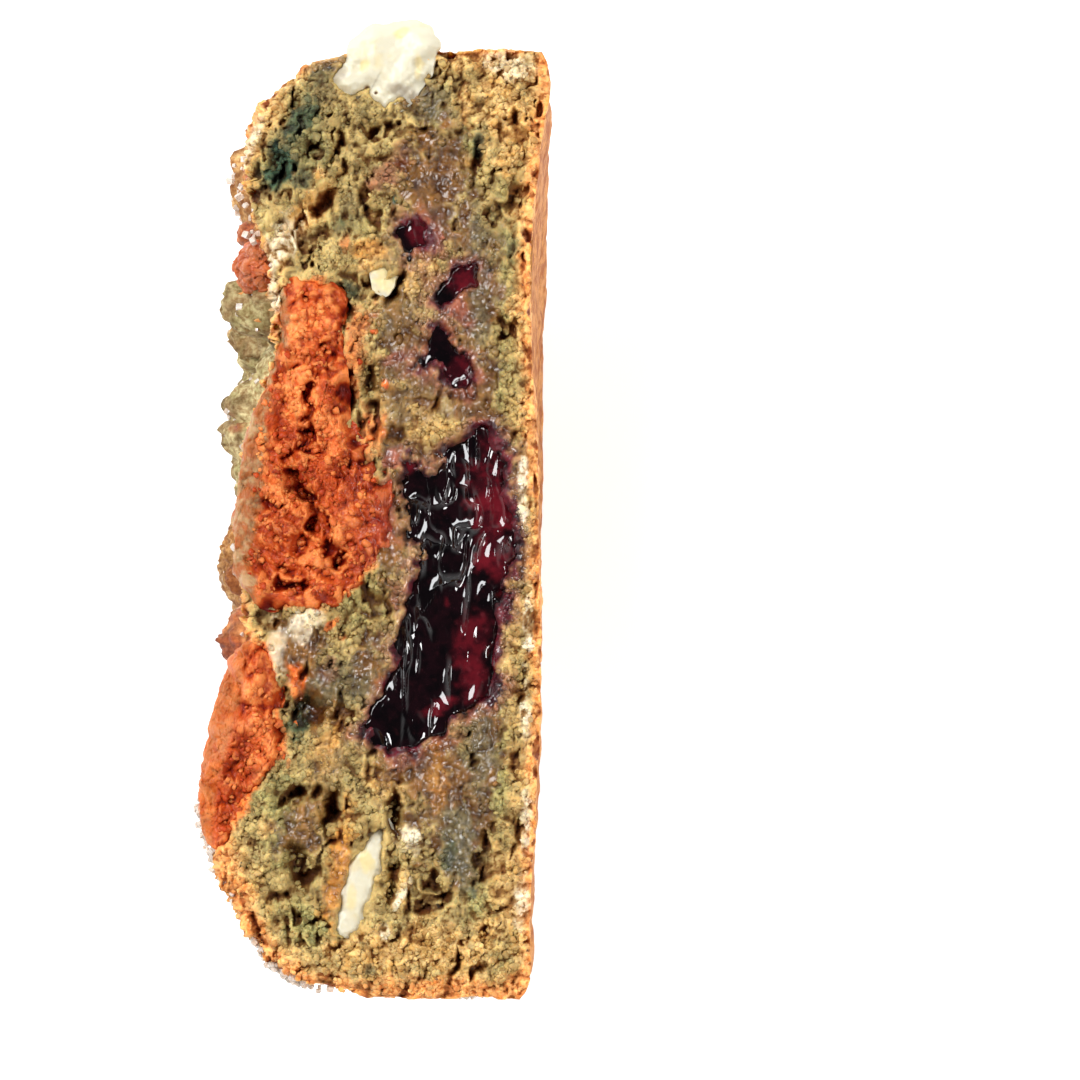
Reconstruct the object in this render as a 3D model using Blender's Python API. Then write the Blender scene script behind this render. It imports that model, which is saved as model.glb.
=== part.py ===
"""One half of a thick, flat-based filled muffin, set on its rim with the cut face up.

X runs through the muffin's thickness, from its craggy dome (-X) to its flat baked base (+X).
Y runs along the cut, and Z is up, from the small flat spot on the rim to the cut face.
All sizes are in millimetres. MM turns them into Blender's metres when a mesh is made.
"""

import math

import bmesh
import bpy
import numpy as np

MM = 0.001

# The whole muffin is a disc turned about an axis along X, which crosses the cut face at AXIS_Y.
MUFFIN_RADIUS = 47.5
AXIS_Y = -1.1
CUT_HEIGHT = 46.8
BODY_ROWS = 52
BODY_COLUMNS = 18
SHELL_RINGS = 22
EDGE_DROP = 0.5
EDGE_REACH = 1.2

# Gap that a pocket keeps to the piece in it, and how far its cutter stands above the cut face.
POCKET_GAP = 0.35
CUTTER_RISE = 5.0

# The edge of the cut face on the domed side, as (y, x), from one end of the cut to the other.
DOME_LINE = [
    (-48.6, -0.5), (-47.8, -3.8), (-47.0, -6.6), (-44.5, -10.5), (-42.3, -12.3), (-38.4, -14.3),
    (-35.7, -15.5), (-33.1, -16.0), (-29.0, -15.9), (-23.9, -14.7), (-20.5, -13.7), (-16.5, -12.8),
    (-10.5, -12.7), (-5.6, -13.1), (-2.0, -12.9), (5.3, -12.3), (12.6, -11.3), (18.0, -9.9),
    (22.3, -10.2), (26.4, -10.6), (28.9, -11.9), (32.4, -12.9), (35.4, -13.1), (38.9, -12.3),
    (41.6, -10.7), (44.0, -8.2), (45.6, -5.6), (46.4, -2.3),
]
# The edge on the baked side is almost straight.
BASE_LINE = [
    (-48.6, 14.4), (-47.2, 15.1), (-40.0, 15.5), (-18.6, 16.6), (5.0, 16.2), (28.0, 15.7),
    (38.0, 16.8), (45.0, 17.3), (46.4, 16.7),
]

# Crumb lumps that stand out of the dome: (y, drop below the cut, reach along y, reach in depth, height).
DOME_LUMPS = [
    (21.0, 8.0, 4.8, 5.5, 4.6),
    (5.4, 15.5, 8.6, 5.0, 3.4),
    (-6.0, 12.5, 3.0, 3.4, 3.0),
    (-12.0, 9.0, 3.4, 4.0, 2.0),
    (34.0, 15.0, 6.0, 6.0, 1.6),
    (-31.0, 24.0, 7.0, 7.0, 2.0),
    (-6.0, 30.0, 8.0, 7.0, 2.4),
    (17.0, 28.0, 7.0, 6.0, 2.2),
]
DOME_COBBLE = 10.5
DOME_COBBLE_HEIGHT = 2.8
RIM_COBBLE_HEIGHT = 1.3
COBBLE_MIDDLE = 0.45
BASE_RIPPLE = 4.0
BASE_RIPPLE_HEIGHT = 0.35
# The crust's relief starts over CUT_FADE below the cut and ends over REST_FADE above the rest spot.
CUT_FADE = 3.0
REST_FADE = 6.0

# Hollows torn in the crumb of the cut face: (x, y, half width, half length, turn in degrees, depth).
HOLLOWS = [
    (-3.0, 11.8, 1.0, 1.6, 0, 2.6),
    (-7.1, -19.9, 2.0, 2.2, 20, 2.6),
    (-4.4, -29.6, 1.0, 2.8, -12, 2.2),
    (2.2, -31.6, 1.0, 2.4, 0, 2.6),
    (-7.6, -35.8, 1.4, 2.8, 15, 2.8),
    (-9.8, 35.0, 1.6, 2.4, -30, 2.6),
    (-5.1, 31.3, 0.9, 2.2, -15, 2.2),
    (-3.2, 21.0, 1.1, 2.6, 0, 2.2),
    (5.8, -37.0, 1.2, 2.0, 40, 1.8),
    (10.3, 34.2, 1.0, 1.6, 0, 1.6),
]
CRAG_HEIGHT = 0.9
CRAG_SIZE = 5.0
CRAG_MIDDLE = 0.6
SWELL_HEIGHT = 0.5
SWELL_SIZE = 13.0
# The torn relief fades over EDGE_FADE towards the edge of the cut, down to EDGE_SHARE of its height.
EDGE_FADE = 2.5
EDGE_SHARE = 0.15

SUGAR_GRAINS = 52
SUGAR_SIZE = (1.1, 1.7)
SUGAR_SINK = 0.3
SUGAR_APART = 3.0
SEED = 11

# The rings of a filling: shares of its edge over the top, and turns in degrees down its rounded side.
TOP_SHARES = (0.15, 0.35, 0.55, 0.75, 0.92)
TOP_SHARES_SHALLOW = (0.45, 0.85)
SHALLOW = 5.0
SIDE_TURNS = (0, 22, 48, 74)
FILLING_SWELL_SIZE = 3.6
# The edge of a filling's top lies RIM_DROP under its middle, and falls by BEYOND_FALL of what it stands
# out beyond the edge of the cut.
RIM_DROP = 0.35
BEYOND_FALL = 0.8

# Each filling piece: its edge on the cut face, the centre it is drawn about, its level against the cut,
# its depth, how square its sides are (under 1 is squarer), how far it swells, and its surface lumps.
JAM_EDGE = [
    (11.0, 8.4), (12.5, 6.4), (13.4, 2.4), (14.0, -2.1), (13.6, -6.1), (12.4, -9.1), (12.2, -13.6),
    (11.0, -17.8), (8.0, -20.6), (5.0, -22.4), (2.5, -24.2), (0.0, -23.4), (-0.9, -20.8), (0.7, -17.6),
    (1.9, -14.6), (2.6, -10.6), (3.2, -7.1), (4.7, -3.9), (3.4, -1.2), (2.9, 1.9), (2.4, 4.6),
    (2.9, 6.6), (4.2, 5.3), (6.1, 5.2), (8.3, 7.4), (9.7, 8.7),
]
ORANGE_EDGE = [
    (-7.5, 23.1), (-5.5, 22.8), (-4.3, 21.5), (-4.4, 18.9), (-3.9, 15.2), (-3.4, 9.4), (-2.0, 6.9),
    (-0.3, 4.6), (0.7, 1.4), (0.5, -2.1), (-0.6, -4.8), (-2.6, -6.6), (-4.0, -8.2), (-7.0, -9.0),
    (-10.3, -8.6), (-13.9, -6.4), (-14.2, -2.6), (-13.7, 2.4), (-12.9, 7.4), (-11.8, 11.2),
    (-10.3, 14.2), (-9.1, 17.0), (-8.9, 20.2), (-8.4, 22.2),
]
ORANGE_SIDE_EDGE = [
    (-11.6, -13.6), (-10.2, -17.6), (-10.3, -21.6), (-11.3, -25.1), (-12.5, -28.1), (-13.9, -30.8),
    (-15.9, -33.4), (-17.4, -31.6), (-17.5, -27.0), (-17.0, -22.6), (-15.9, -18.4), (-14.3, -14.6),
    (-12.9, -12.8),
]
WHITE_TOP_EDGE = [
    (-2.6, 46.9), (-1.3, 48.4), (0.5, 49.0), (2.5, 49.4), (4.3, 49.3), (5.7, 48.4), (6.5, 46.7),
    (5.5, 45.2), (4.5, 43.6), (3.3, 42.2), (2.1, 40.9), (0.1, 41.0), (-0.9, 42.1), (-2.8, 41.7),
    (-3.9, 42.6), (-4.2, 44.0), (-3.2, 44.9), (-2.6, 45.8),
]
WHITE_LOW_EDGE = [
    (0.7, -30.1), (1.4, -31.4), (0.8, -33.4), (0.5, -35.8), (-0.1, -38.8), (-1.8, -42.1), (-3.6, -42.4),
    (-4.3, -41.1), (-3.5, -38.6), (-2.8, -36.6), (-2.2, -34.8), (-1.4, -32.8), (-0.3, -31.0),
]
WHITE_BIT_EDGE = [(-0.4, 24.6), (1.2, 25.3), (1.9, 23.4), (1.2, 21.8), (-0.1, 22.8)]
BERRY_HIGH_EDGE = [
    (2.2, 28.2), (3.3, 29.3), (4.6, 29.6), (5.6, 28.6), (5.4, 27.0), (4.3, 26.0), (3.5, 25.0), (2.6, 26.4),
]
BERRY_MID_EDGE = [
    (6.1, 21.7), (6.9, 23.2), (8.4, 24.5), (9.7, 24.7), (9.9, 23.6), (8.8, 22.0), (7.5, 20.9), (6.4, 20.6),
]
BERRY_LOW_EDGE = [
    (5.6, 18.8), (6.7, 19.4), (7.5, 17.6), (8.4, 15.9), (9.3, 14.2), (8.8, 12.8), (7.6, 13.0),
    (6.2, 14.3), (4.8, 14.4), (3.5, 14.2), (3.7, 15.5), (5.0, 16.5),
]
SIDE_LUMP_CENTRE = (-11.6, 24.8, CUT_HEIGHT - 4.6)
SIDE_LUMP_SIZE = (2.6, 2.6, 3.4)
SIDE_LUMP_BUMPS = 0.16

COLOURS = {
    "crumb": (0.62, 0.47, 0.22, 1.0),
    "jam": (0.10, 0.012, 0.02, 1.0),
    "orange_dough": (0.75, 0.24, 0.06, 1.0),
    "white_chocolate": (0.93, 0.88, 0.70, 1.0),
}
ROUGHNESS = {"crumb": 0.8, "jam": 0.15, "orange_dough": 0.7, "white_chocolate": 0.45}


def clear_scene():
    """Remove what the file held, with its meshes."""
    for old in list(bpy.data.objects):
        bpy.data.objects.remove(old)
    for mesh in list(bpy.data.meshes):
        bpy.data.meshes.remove(mesh)


def material(name):
    """A plain Principled material for one of the muffin's foods."""
    made = bpy.data.materials.get(name) or bpy.data.materials.new(name)
    made.use_nodes = True
    shader = made.node_tree.nodes["Principled BSDF"]
    shader.inputs["Base Color"].default_value = COLOURS[name]
    shader.inputs["Roughness"].default_value = ROUGHNESS[name]
    return made


def lattice(ix, iy, iz, seed):
    """A repeatable number from 0 to 1 for every whole-numbered point of space."""
    n = (ix * 374761393 + iy * 668265263 + iz * 1274126177 + seed * 362437) & 0xFFFFFFFF
    n = ((n ^ (n >> 13)) * 1103515245) & 0xFFFFFFFF
    return ((n ^ (n >> 16)) & 0xFFFFFF) / float(0xFFFFFF)


def swell(points, size, seed):
    """Smooth random waves from -1 to 1: lattice values blended between the eight corners of each cell."""
    p = np.asarray(points, float) / size
    whole = np.floor(p).astype(np.int64)
    part = p - whole
    part = part * part * (3 - 2 * part)
    total = np.zeros(len(p))
    for corner in np.ndindex(2, 2, 2):
        share = np.ones(len(p))
        for k in range(3):
            share = share * (part[:, k] if corner[k] else 1 - part[:, k])
        total += share * lattice(*(whole[:, k] + corner[k] for k in range(3)), seed)
    return 2 * total - 1


def cobble(points, size, seed):
    """Round-topped lumps, 0 in the cracks and 1 on the crowns, from the distance to the nearest seed."""
    p = np.asarray(points, float) / size
    whole = np.floor(p).astype(np.int64)
    nearest = np.full(len(p), 9.0)
    for step in np.ndindex(3, 3, 3):
        cell = whole + (np.array(step) - 1)
        spot = np.stack([lattice(*cell.T, seed + k) for k in range(3)], axis=1)
        nearest = np.minimum(nearest, ((cell + spot - p) ** 2).sum(axis=1))
    return np.clip(1 - nearest / 0.55, 0, 1)


def curve_through(points, at):
    """A smooth curve x(y) through (y, x) points: cubic pieces whose slopes come from the neighbours."""
    table = np.array(points, float)
    y, x = table[:, 0], table[:, 1]
    slope = np.gradient(x, y)
    at = np.clip(at, y[0], y[-1])
    k = np.clip(np.searchsorted(y, at, side="right") - 1, 0, len(y) - 2)
    width = y[k + 1] - y[k]
    t = (at - y[k]) / width
    return (
        (1 + 2 * t) * (1 - t) ** 2 * x[k]
        + t * (1 - t) ** 2 * width * slope[k]
        + t * t * (3 - 2 * t) * x[k + 1]
        + t * t * (t - 1) * width * slope[k + 1]
    )


def closed_edge(points, count):
    """A smooth closed curve through (x, y) points, as count points: Catmull-Rom pieces end to end."""
    p = np.array(points, float)
    t = np.arange(count) * len(p) / count
    k = t.astype(int)
    f = (t - k)[:, None]
    a, b, c, d = (p[(k + shift) % len(p)] for shift in (-1, 0, 1, 2))
    return 0.5 * (2 * b + (c - a) * f + (2 * a - 5 * b + 4 * c - d) * f**2 + (3 * b - a - 3 * c + d) * f**3)


def side_x(line, y, drop):
    """Where the turned surface lies at y and at drop below the cut.

    It is the line's x at that distance from the axis, blended from the line's two ends by direction.
    """
    along = y - AXIS_Y
    radius = np.sqrt(along**2 + drop**2)
    share = 0.5 * (1 + along / np.maximum(radius, 1e-6))
    upper = curve_through(line, AXIS_Y + radius)
    lower = curve_through(line, AXIS_Y - radius)
    return share * upper + (1 - share) * lower


def cut_height(x, y):
    """Height of the torn crumb at a point of the cut face: swells and crags, less the named hollows."""
    flat = np.stack([x, y, np.zeros_like(x)], axis=1)
    z = SWELL_HEIGHT * swell(flat, SWELL_SIZE, SEED)
    z = z + CRAG_HEIGHT * (cobble(flat, CRAG_SIZE, SEED + 3) - CRAG_MIDDLE)
    for hx, hy, wide, long, turn, depth in HOLLOWS:
        c, s = math.cos(math.radians(turn)), math.sin(math.radians(turn))
        u = ((x - hx) * c + (y - hy) * s) / wide
        v = ((y - hy) * c - (x - hx) * s) / long
        z = z - depth * np.exp(-(u * u + v * v))
    inside = np.minimum(x - curve_through(DOME_LINE, y), curve_through(BASE_LINE, y) - x)
    inside = np.minimum(inside, MUFFIN_RADIUS - np.abs(y - AXIS_Y))
    z = z * np.clip(inside / EDGE_FADE, EDGE_SHARE, 1)
    return CUT_HEIGHT + z - EDGE_DROP * np.exp(-np.maximum(inside, 0) / EDGE_REACH)


def shell_relief(points):
    """How far the crust stands out: lumps on the dome, fewer on the rim and ripples on the base."""
    x, y, z = points.T
    drop = CUT_HEIGHT - z
    radius = np.hypot(y - AXIS_Y, drop)
    dome = np.clip((2.0 - x) / 10.0, 0, 1) * np.clip((MUFFIN_RADIUS - radius) / 8.0, 0, 1)
    base = np.clip((x - 12.0) / 3.0, 0, 1)
    lumps = cobble(points, DOME_COBBLE, SEED + 7) - COBBLE_MIDDLE
    height = lumps * (DOME_COBBLE_HEIGHT * dome + RIM_COBBLE_HEIGHT * (1 - dome) * (1 - base))
    height = height + BASE_RIPPLE_HEIGHT * base * swell(points, BASE_RIPPLE, SEED + 9)
    for ly, ldrop, reach_y, reach_z, tall in DOME_LUMPS:
        far = ((y - ly) / reach_y) ** 2 + ((drop - ldrop) / reach_z) ** 2
        height = height + tall * dome * np.clip(1 - far, 0, 1) ** 0.6
    return height * np.clip(drop / CUT_FADE, 0, 1) * np.clip(z / REST_FADE, 0, 1)


def make_object(name, points, faces, food):
    """One closed mesh object at the origin, with its place in its mesh, shaded smooth."""
    mesh = bpy.data.meshes.new(name)
    mesh.from_pydata((np.asarray(points) * MM).tolist(), [], faces)
    mesh.update()
    made = bpy.data.objects.new(name, mesh)
    bpy.context.scene.collection.objects.link(made)
    tidy = bmesh.new()
    tidy.from_mesh(mesh)
    bmesh.ops.recalc_face_normals(tidy, faces=tidy.faces)
    tidy.to_mesh(mesh)
    tidy.free()
    if food:
        mesh.materials.append(material(food))
    mesh.shade_smooth()
    return made


def muffin_body():
    """The crumb: a grid over the cut face, sewn to half as many ribs down the turned crust and a flat spot."""
    t = np.linspace(-1, 1, BODY_ROWS + 1)
    rows = AXIS_Y + MUFFIN_RADIUS * (0.5 * t + 0.5 * np.sin(t * math.pi / 2))
    s = np.linspace(0, 1, BODY_COLUMNS + 1)
    left, right = curve_through(DOME_LINE, rows), curve_through(BASE_LINE, rows)
    x = left[:, None] + s[None, :] * (right - left)[:, None]
    y = np.repeat(rows[:, None], BODY_COLUMNS + 1, axis=1)
    z = cut_height(x.ravel(), y.ravel())
    face = np.stack([x.ravel(), y.ravel(), z], axis=1)
    across = BODY_COLUMNS + 1
    quads = [
        (r * across + c, r * across + c + 1, (r + 1) * across + c + 1, (r + 1) * across + c)
        for r in range(BODY_ROWS)
        for c in range(BODY_COLUMNS)
    ]
    loop = (
        [c for c in range(BODY_COLUMNS)]
        + [r * across + BODY_COLUMNS for r in range(BODY_ROWS)]
        + [BODY_ROWS * across + c for c in range(BODY_COLUMNS, 0, -1)]
        + [r * across for r in range(BODY_ROWS, 0, -1)]
    )
    ribs = face[loop[::2]]
    on_dome = np.array([i >= 2 * BODY_COLUMNS + BODY_ROWS for i in range(0, len(loop), 2)])
    on_base = np.array(
        [BODY_COLUMNS <= i < BODY_COLUMNS + BODY_ROWS for i in range(0, len(loop), 2)]
    )
    lowest = math.asin(CUT_HEIGHT / MUFFIN_RADIUS)
    rings = []
    for k in range(1, SHELL_RINGS + 1):
        turn = lowest * k / SHELL_RINGS
        ry = AXIS_Y + (ribs[:, 1] - AXIS_Y) * math.cos(turn)
        drop = np.full(len(ribs), MUFFIN_RADIUS * math.sin(turn))
        rx = np.where(on_dome, side_x(DOME_LINE, ry, drop), ribs[:, 0])
        rx = np.where(on_base, side_x(BASE_LINE, ry, drop), rx)
        rings.append(np.stack([rx, ry, CUT_HEIGHT - drop], axis=1))
    shell = np.stack([ribs * [1, 1, 0] + [0, 0, CUT_HEIGHT]] + rings)
    along = np.roll(shell, -1, axis=1) - np.roll(shell, 1, axis=1)
    down = np.gradient(shell, axis=0)
    normal = np.cross(down, along)
    normal /= np.maximum(np.linalg.norm(normal, axis=2, keepdims=True), 1e-9)
    flat = shell.reshape(-1, 3)
    pushed = flat + normal.reshape(-1, 3) * shell_relief(flat)[:, None]
    pushed = pushed.reshape(shell.shape)[1:]
    pushed[-1, :, 2] = 0.0
    points = np.concatenate([face, pushed.reshape(-1, 3)])
    first, ribs_round = len(face), len(ribs)
    for k in range(ribs_round):
        a, b, c = loop[2 * k], loop[2 * k + 1], loop[(2 * k + 2) % len(loop)]
        low, low_next = first + k, first + (k + 1) % ribs_round
        quads += [(a, low, b), (b, low, low_next), (b, low_next, c)]
    for ring in range(SHELL_RINGS - 1):
        start = first + ring * ribs_round
        for k in range(ribs_round):
            after = (k + 1) % ribs_round
            quads.append((start + k, start + ribs_round + k, start + ribs_round + after, start + after))
    bottom = first + (SHELL_RINGS - 1) * ribs_round
    quads.append(tuple(bottom + k for k in range(ribs_round)))
    return make_object("crumb", points, quads, "crumb")


def filling(name, edge, food, level, depth, square, swollen, lump, sides=48, gap=0.0, centre=None):
    """A filling piece let into the cut: rings over its top, then rings curving in to a point below.

    With a gap it is the cutter of its pocket: wider and deeper by the gap, and standing above the cut.
    """
    rim = closed_edge(edge, sides)
    middle = np.array(centre or rim.mean(axis=0))
    along = np.roll(rim, -1, axis=0) - np.roll(rim, 1, axis=0)
    outward = np.stack([along[:, 1], -along[:, 0]], axis=1)
    outward /= np.linalg.norm(outward, axis=1, keepdims=True)
    if ((rim - middle) * outward).sum() < 0:
        outward = -outward
    rim = rim + outward * gap
    beyond = np.maximum(curve_through(DOME_LINE, rim[:, 1]) - rim[:, 0], 0)
    top_edge = CUT_HEIGHT + level - RIM_DROP - BEYOND_FALL * beyond
    points, rings = [], []

    def add_ring(xy, z):
        rings.append(len(points))
        points.extend(np.column_stack([xy, z]).tolist())

    if gap:
        add_ring(rim, np.full(sides, CUT_HEIGHT + CUTTER_RISE))
    else:
        for share in TOP_SHARES if depth > SHALLOW else TOP_SHARES_SHALLOW:
            xy = middle + (rim - middle) * share
            flat = np.column_stack([xy, np.zeros(sides)])
            beyond_here = np.maximum(curve_through(DOME_LINE, xy[:, 1]) - xy[:, 0], 0)
            bumps = lump * swell(flat, FILLING_SWELL_SIZE, SEED + 21)
            add_ring(xy, CUT_HEIGHT + level + bumps - BEYOND_FALL * beyond_here)
    for turn in np.radians(SIDE_TURNS):
        share = math.cos(turn) ** square * (1 + swollen * math.sin(2 * turn))
        fall = (depth + gap) * math.sin(turn)
        add_ring(middle + (rim - middle) * share, top_edge - fall)
    tip = len(points)
    points.append([middle[0], middle[1], float(top_edge.max()) - depth - gap])
    faces = []
    if gap:
        faces.append(tuple(rings[0] + k for k in range(sides)))
    else:
        hub = len(points)
        points.append([middle[0], middle[1], CUT_HEIGHT + level])
        faces += [(hub, rings[0] + k, rings[0] + (k + 1) % sides) for k in range(sides)]
    for upper, lower in zip(rings, rings[1:]):
        for k in range(sides):
            after = (k + 1) % sides
            faces.append((upper + k, lower + k, lower + after, upper + after))
    faces += [(rings[-1] + k, tip, rings[-1] + (k + 1) % sides) for k in range(sides)]
    return make_object(name, points, faces, None if gap else food)


def side_lump(name, food, gap=0.0):
    """A lump of orange dough half sunk in the dome: a ball of dough, squeezed and cobbled."""
    ball = bmesh.new()
    bmesh.ops.create_icosphere(ball, subdivisions=3, radius=1.0)
    ball.verts.ensure_lookup_table()
    unit = np.array([v.co for v in ball.verts])
    faces = [tuple(v.index for v in f.verts) for f in ball.faces]
    ball.free()
    bumps = 1 + SIDE_LUMP_BUMPS * swell(unit * 2.0, 1.0, SEED + 31)
    sizes = np.array(SIDE_LUMP_SIZE) + gap
    points = np.array(SIDE_LUMP_CENTRE) + unit * sizes * bumps[:, None]
    return make_object(name, points, faces, None if gap else food)


def keep_largest(target):
    """Drop the loose scraps that a cut has left, and keep the one large body of faces joined edge to edge."""
    cut = bmesh.new()
    cut.from_mesh(target.data)
    left = set(cut.faces)
    bodies = []
    while left:
        stack, body = [left.pop()], []
        while stack:
            face = stack.pop()
            body.append(face)
            near = {other for edge in face.edges for other in edge.link_faces} & left
            left -= near
            stack.extend(near)
        bodies.append(body)
    bodies.sort(key=len)
    scraps = [face for body in bodies[:-1] for face in body]
    bmesh.ops.delete(cut, geom=scraps, context="FACES")
    cut.to_mesh(target.data)
    cut.free()


def apply_boolean(target, operation, others):
    """Cut or join a group of closed meshes with one exact Boolean, apply it and remove the group."""
    group = bpy.data.collections.new(operation.lower())
    bpy.context.scene.collection.children.link(group)
    for other in others:
        group.objects.link(other)
    step = target.modifiers.new(operation.lower(), "BOOLEAN")
    step.operation = operation
    step.operand_type = "COLLECTION"
    step.collection = group
    step.solver = "EXACT"
    bpy.context.view_layer.update()
    done = bpy.data.meshes.new_from_object(target.evaluated_get(bpy.context.evaluated_depsgraph_get()))
    target.modifiers.remove(step)
    target.data = done
    for other in others:
        bpy.data.objects.remove(other)
    bpy.data.collections.remove(group)
    keep_largest(target)


def sugar_grain(place, size, turn):
    """One coarse sugar crystal: a cube turned at random."""
    grain = bmesh.new()
    bmesh.ops.create_cube(grain, size=size)
    points = np.array([v.co for v in grain.verts]) @ turn + place
    faces = [tuple(v.index for v in f.verts) for f in grain.faces]
    grain.free()
    return make_object("sugar", points, faces, None)


def sugar_places(body, draw):
    """Where the sugar lies: corners of the crust, drawn with most weight on the two ends of the rim."""
    co = np.array([v.co for v in body.data.vertices]) / MM
    nrm = np.array([v.normal for v in body.data.vertices])
    drop = CUT_HEIGHT - co[:, 2]
    radius = np.hypot(co[:, 1] - AXIS_Y, drop)
    crust = (drop > 1.2) & (co[:, 2] > 5.0) & (co[:, 0] < 13.0) & (radius > 24.0)
    crust &= np.hypot(co[:, 1] - 45.0, co[:, 0] - 1.0) > 9.0
    crust &= ~((co[:, 1] > -36) & (co[:, 1] < -8) & (co[:, 0] < -9) & (drop < 20))
    crust &= ~((co[:, 1] > -12) & (co[:, 1] < 30) & (co[:, 0] < -6) & (drop < 16))
    weight = crust * (0.2 + (radius > 36) * 1.0 + (co[:, 1] < -30) * 2.0)
    picked = draw.choice(len(co), size=SUGAR_GRAINS, replace=False, p=weight / weight.sum())
    chosen = []
    for k in picked:
        if all(np.linalg.norm(co[k] - co[j]) > SUGAR_APART for j in chosen):
            chosen.append(k)
    return co[chosen], nrm[chosen]


def add_sugar(body):
    """Fuse the coarse sugar crystals that lie on the crust into the crumb's solid."""
    draw = np.random.default_rng(SEED)
    grains = []
    for place, out in zip(*sugar_places(body, draw)):
        size = draw.uniform(*SUGAR_SIZE)
        spin = np.linalg.qr(draw.normal(size=(3, 3)))[0]
        grains.append(sugar_grain(place + out * (size * 0.5 - SUGAR_SINK), size, spin))
    apply_boolean(body, "UNION", grains)


FILLINGS = [
    ("jam_centre", JAM_EDGE, "jam", -0.9, 15.0, 0.75, 0.0, 0.6, 42, (7.0, -6.6)),
    ("orange_centre", ORANGE_EDGE, "orange_dough", 0.1, 9.0, 0.55, 0.0, 0.9, 42, (-7.0, 4.0)),
    ("orange_side", ORANGE_SIDE_EDGE, "orange_dough", 0.0, 11.0, 0.55, 0.05, 0.5, 28, None),
    ("white_chunk_top", WHITE_TOP_EDGE, "white_chocolate", 0.9, 7.0, 0.45, 0.0, 0.25, 30, (1.0, 44.8)),
    ("white_chunk_low", WHITE_LOW_EDGE, "white_chocolate", -0.2, 7.0, 0.5, 0.0, 0.2, 24, (-1.3, -36.5)),
    ("white_bit", WHITE_BIT_EDGE, "white_chocolate", -0.1, 2.5, 0.5, 0.0, 0.1, 12, None),
    ("berry_high", BERRY_HIGH_EDGE, "jam", -0.5, 3.0, 0.7, 0.0, 0.3, 16, None),
    ("berry_mid", BERRY_MID_EDGE, "jam", -0.5, 3.5, 0.7, 0.0, 0.3, 16, None),
    ("berry_low", BERRY_LOW_EDGE, "jam", -0.6, 4.0, 0.7, 0.0, 0.3, 28, (6.7, 15.6)),
]


def build():
    """Make the crumb, cut every pocket, sow the sugar and set the fillings in their pockets."""
    clear_scene()
    body = muffin_body()
    cutters = [
        filling(name + "_pocket", edge, food, level, depth, square, swollen, lump, sides, POCKET_GAP, centre)
        for name, edge, food, level, depth, square, swollen, lump, sides, centre in FILLINGS
    ]
    cutters.append(side_lump("orange_lump_pocket", "orange_dough", POCKET_GAP))
    add_sugar(body)
    apply_boolean(body, "DIFFERENCE", cutters)
    body.data.shade_smooth()
    for name, edge, food, level, depth, square, swollen, lump, sides, centre in FILLINGS:
        filling(name, edge, food, level, depth, square, swollen, lump, sides, 0.0, centre)
    side_lump("orange_lump", "orange_dough")


build()
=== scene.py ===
# %% [markdown]
# # Half a filled muffin, cut face up
#
# The real thing is a thick round muffin with a flat base and a craggy top, cut through the middle.
# The half lies on its round rim, so that the cut shows: moist crumb, a jam centre, lumps of orange
# dough and chunks of white chocolate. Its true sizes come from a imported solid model, the frame. This
# script dresses that frame: every surface is an array of points worked out with numpy, and every
# finish is a tree of shader nodes. Lengths here are millimetres, and MM turns them into metres.

# %% Load the frame
import math

import bmesh
import bpy
import numpy as np
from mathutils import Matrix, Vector


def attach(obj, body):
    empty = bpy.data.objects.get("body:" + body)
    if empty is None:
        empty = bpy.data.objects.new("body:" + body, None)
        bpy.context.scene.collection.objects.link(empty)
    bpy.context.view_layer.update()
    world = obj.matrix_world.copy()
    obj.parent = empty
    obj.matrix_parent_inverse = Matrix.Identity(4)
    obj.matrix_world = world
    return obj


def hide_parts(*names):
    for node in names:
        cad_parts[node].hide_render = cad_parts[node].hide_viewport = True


MM = 0.001
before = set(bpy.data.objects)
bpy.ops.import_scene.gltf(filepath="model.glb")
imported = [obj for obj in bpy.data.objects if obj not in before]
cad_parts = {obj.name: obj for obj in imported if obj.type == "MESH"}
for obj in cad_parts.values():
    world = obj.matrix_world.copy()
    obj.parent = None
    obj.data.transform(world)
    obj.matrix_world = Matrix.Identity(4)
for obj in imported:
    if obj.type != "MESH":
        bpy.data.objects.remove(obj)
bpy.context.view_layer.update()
print("frame nodes:", ", ".join(sorted(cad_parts)))

# %% [markdown]
# ## Camera
#
# The photograph looks straight down on the cut from far away. One pixel of its 1080 is 0.1 mm at the
# level of the cut, so the picture is 108 mm wide there. A camera 550 mm above the cut needs a lens of
# sensor width times distance over picture width. The half lies in the left of the picture, so the
# camera stands over the picture's middle, and not over the half.

# %% Place the camera
PIXEL = 0.1
PHOTO_SIDE = 1080
FRAME_ORIGIN_PX = (375, 514)
CUT_HEIGHT = 46.8
CAMERA_ABOVE_CUT = 550.0
SENSOR = 36.0


def from_photo(px, py):
    """Millimetres on the cut: the pixel's steps right and up from the frame's origin, times PIXEL."""
    return (px - FRAME_ORIGIN_PX[0]) * PIXEL, (FRAME_ORIGIN_PX[1] - py) * PIXEL


lens = bpy.data.cameras.new("camera")
lens.sensor_width = SENSOR
lens.lens = SENSOR * CAMERA_ABOVE_CUT / (PHOTO_SIDE * PIXEL)
camera = bpy.data.objects.new("camera", lens)
middle = from_photo(PHOTO_SIDE / 2, PHOTO_SIDE / 2)
camera.location = (middle[0] * MM, middle[1] * MM, (CUT_HEIGHT + CAMERA_ABOVE_CUT) * MM)
bpy.context.scene.collection.objects.link(camera)
bpy.context.scene.camera = camera
print(f"camera over {middle[0]:.1f}, {middle[1]:.1f} mm with a {lens.lens:.0f} mm lens")

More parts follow.
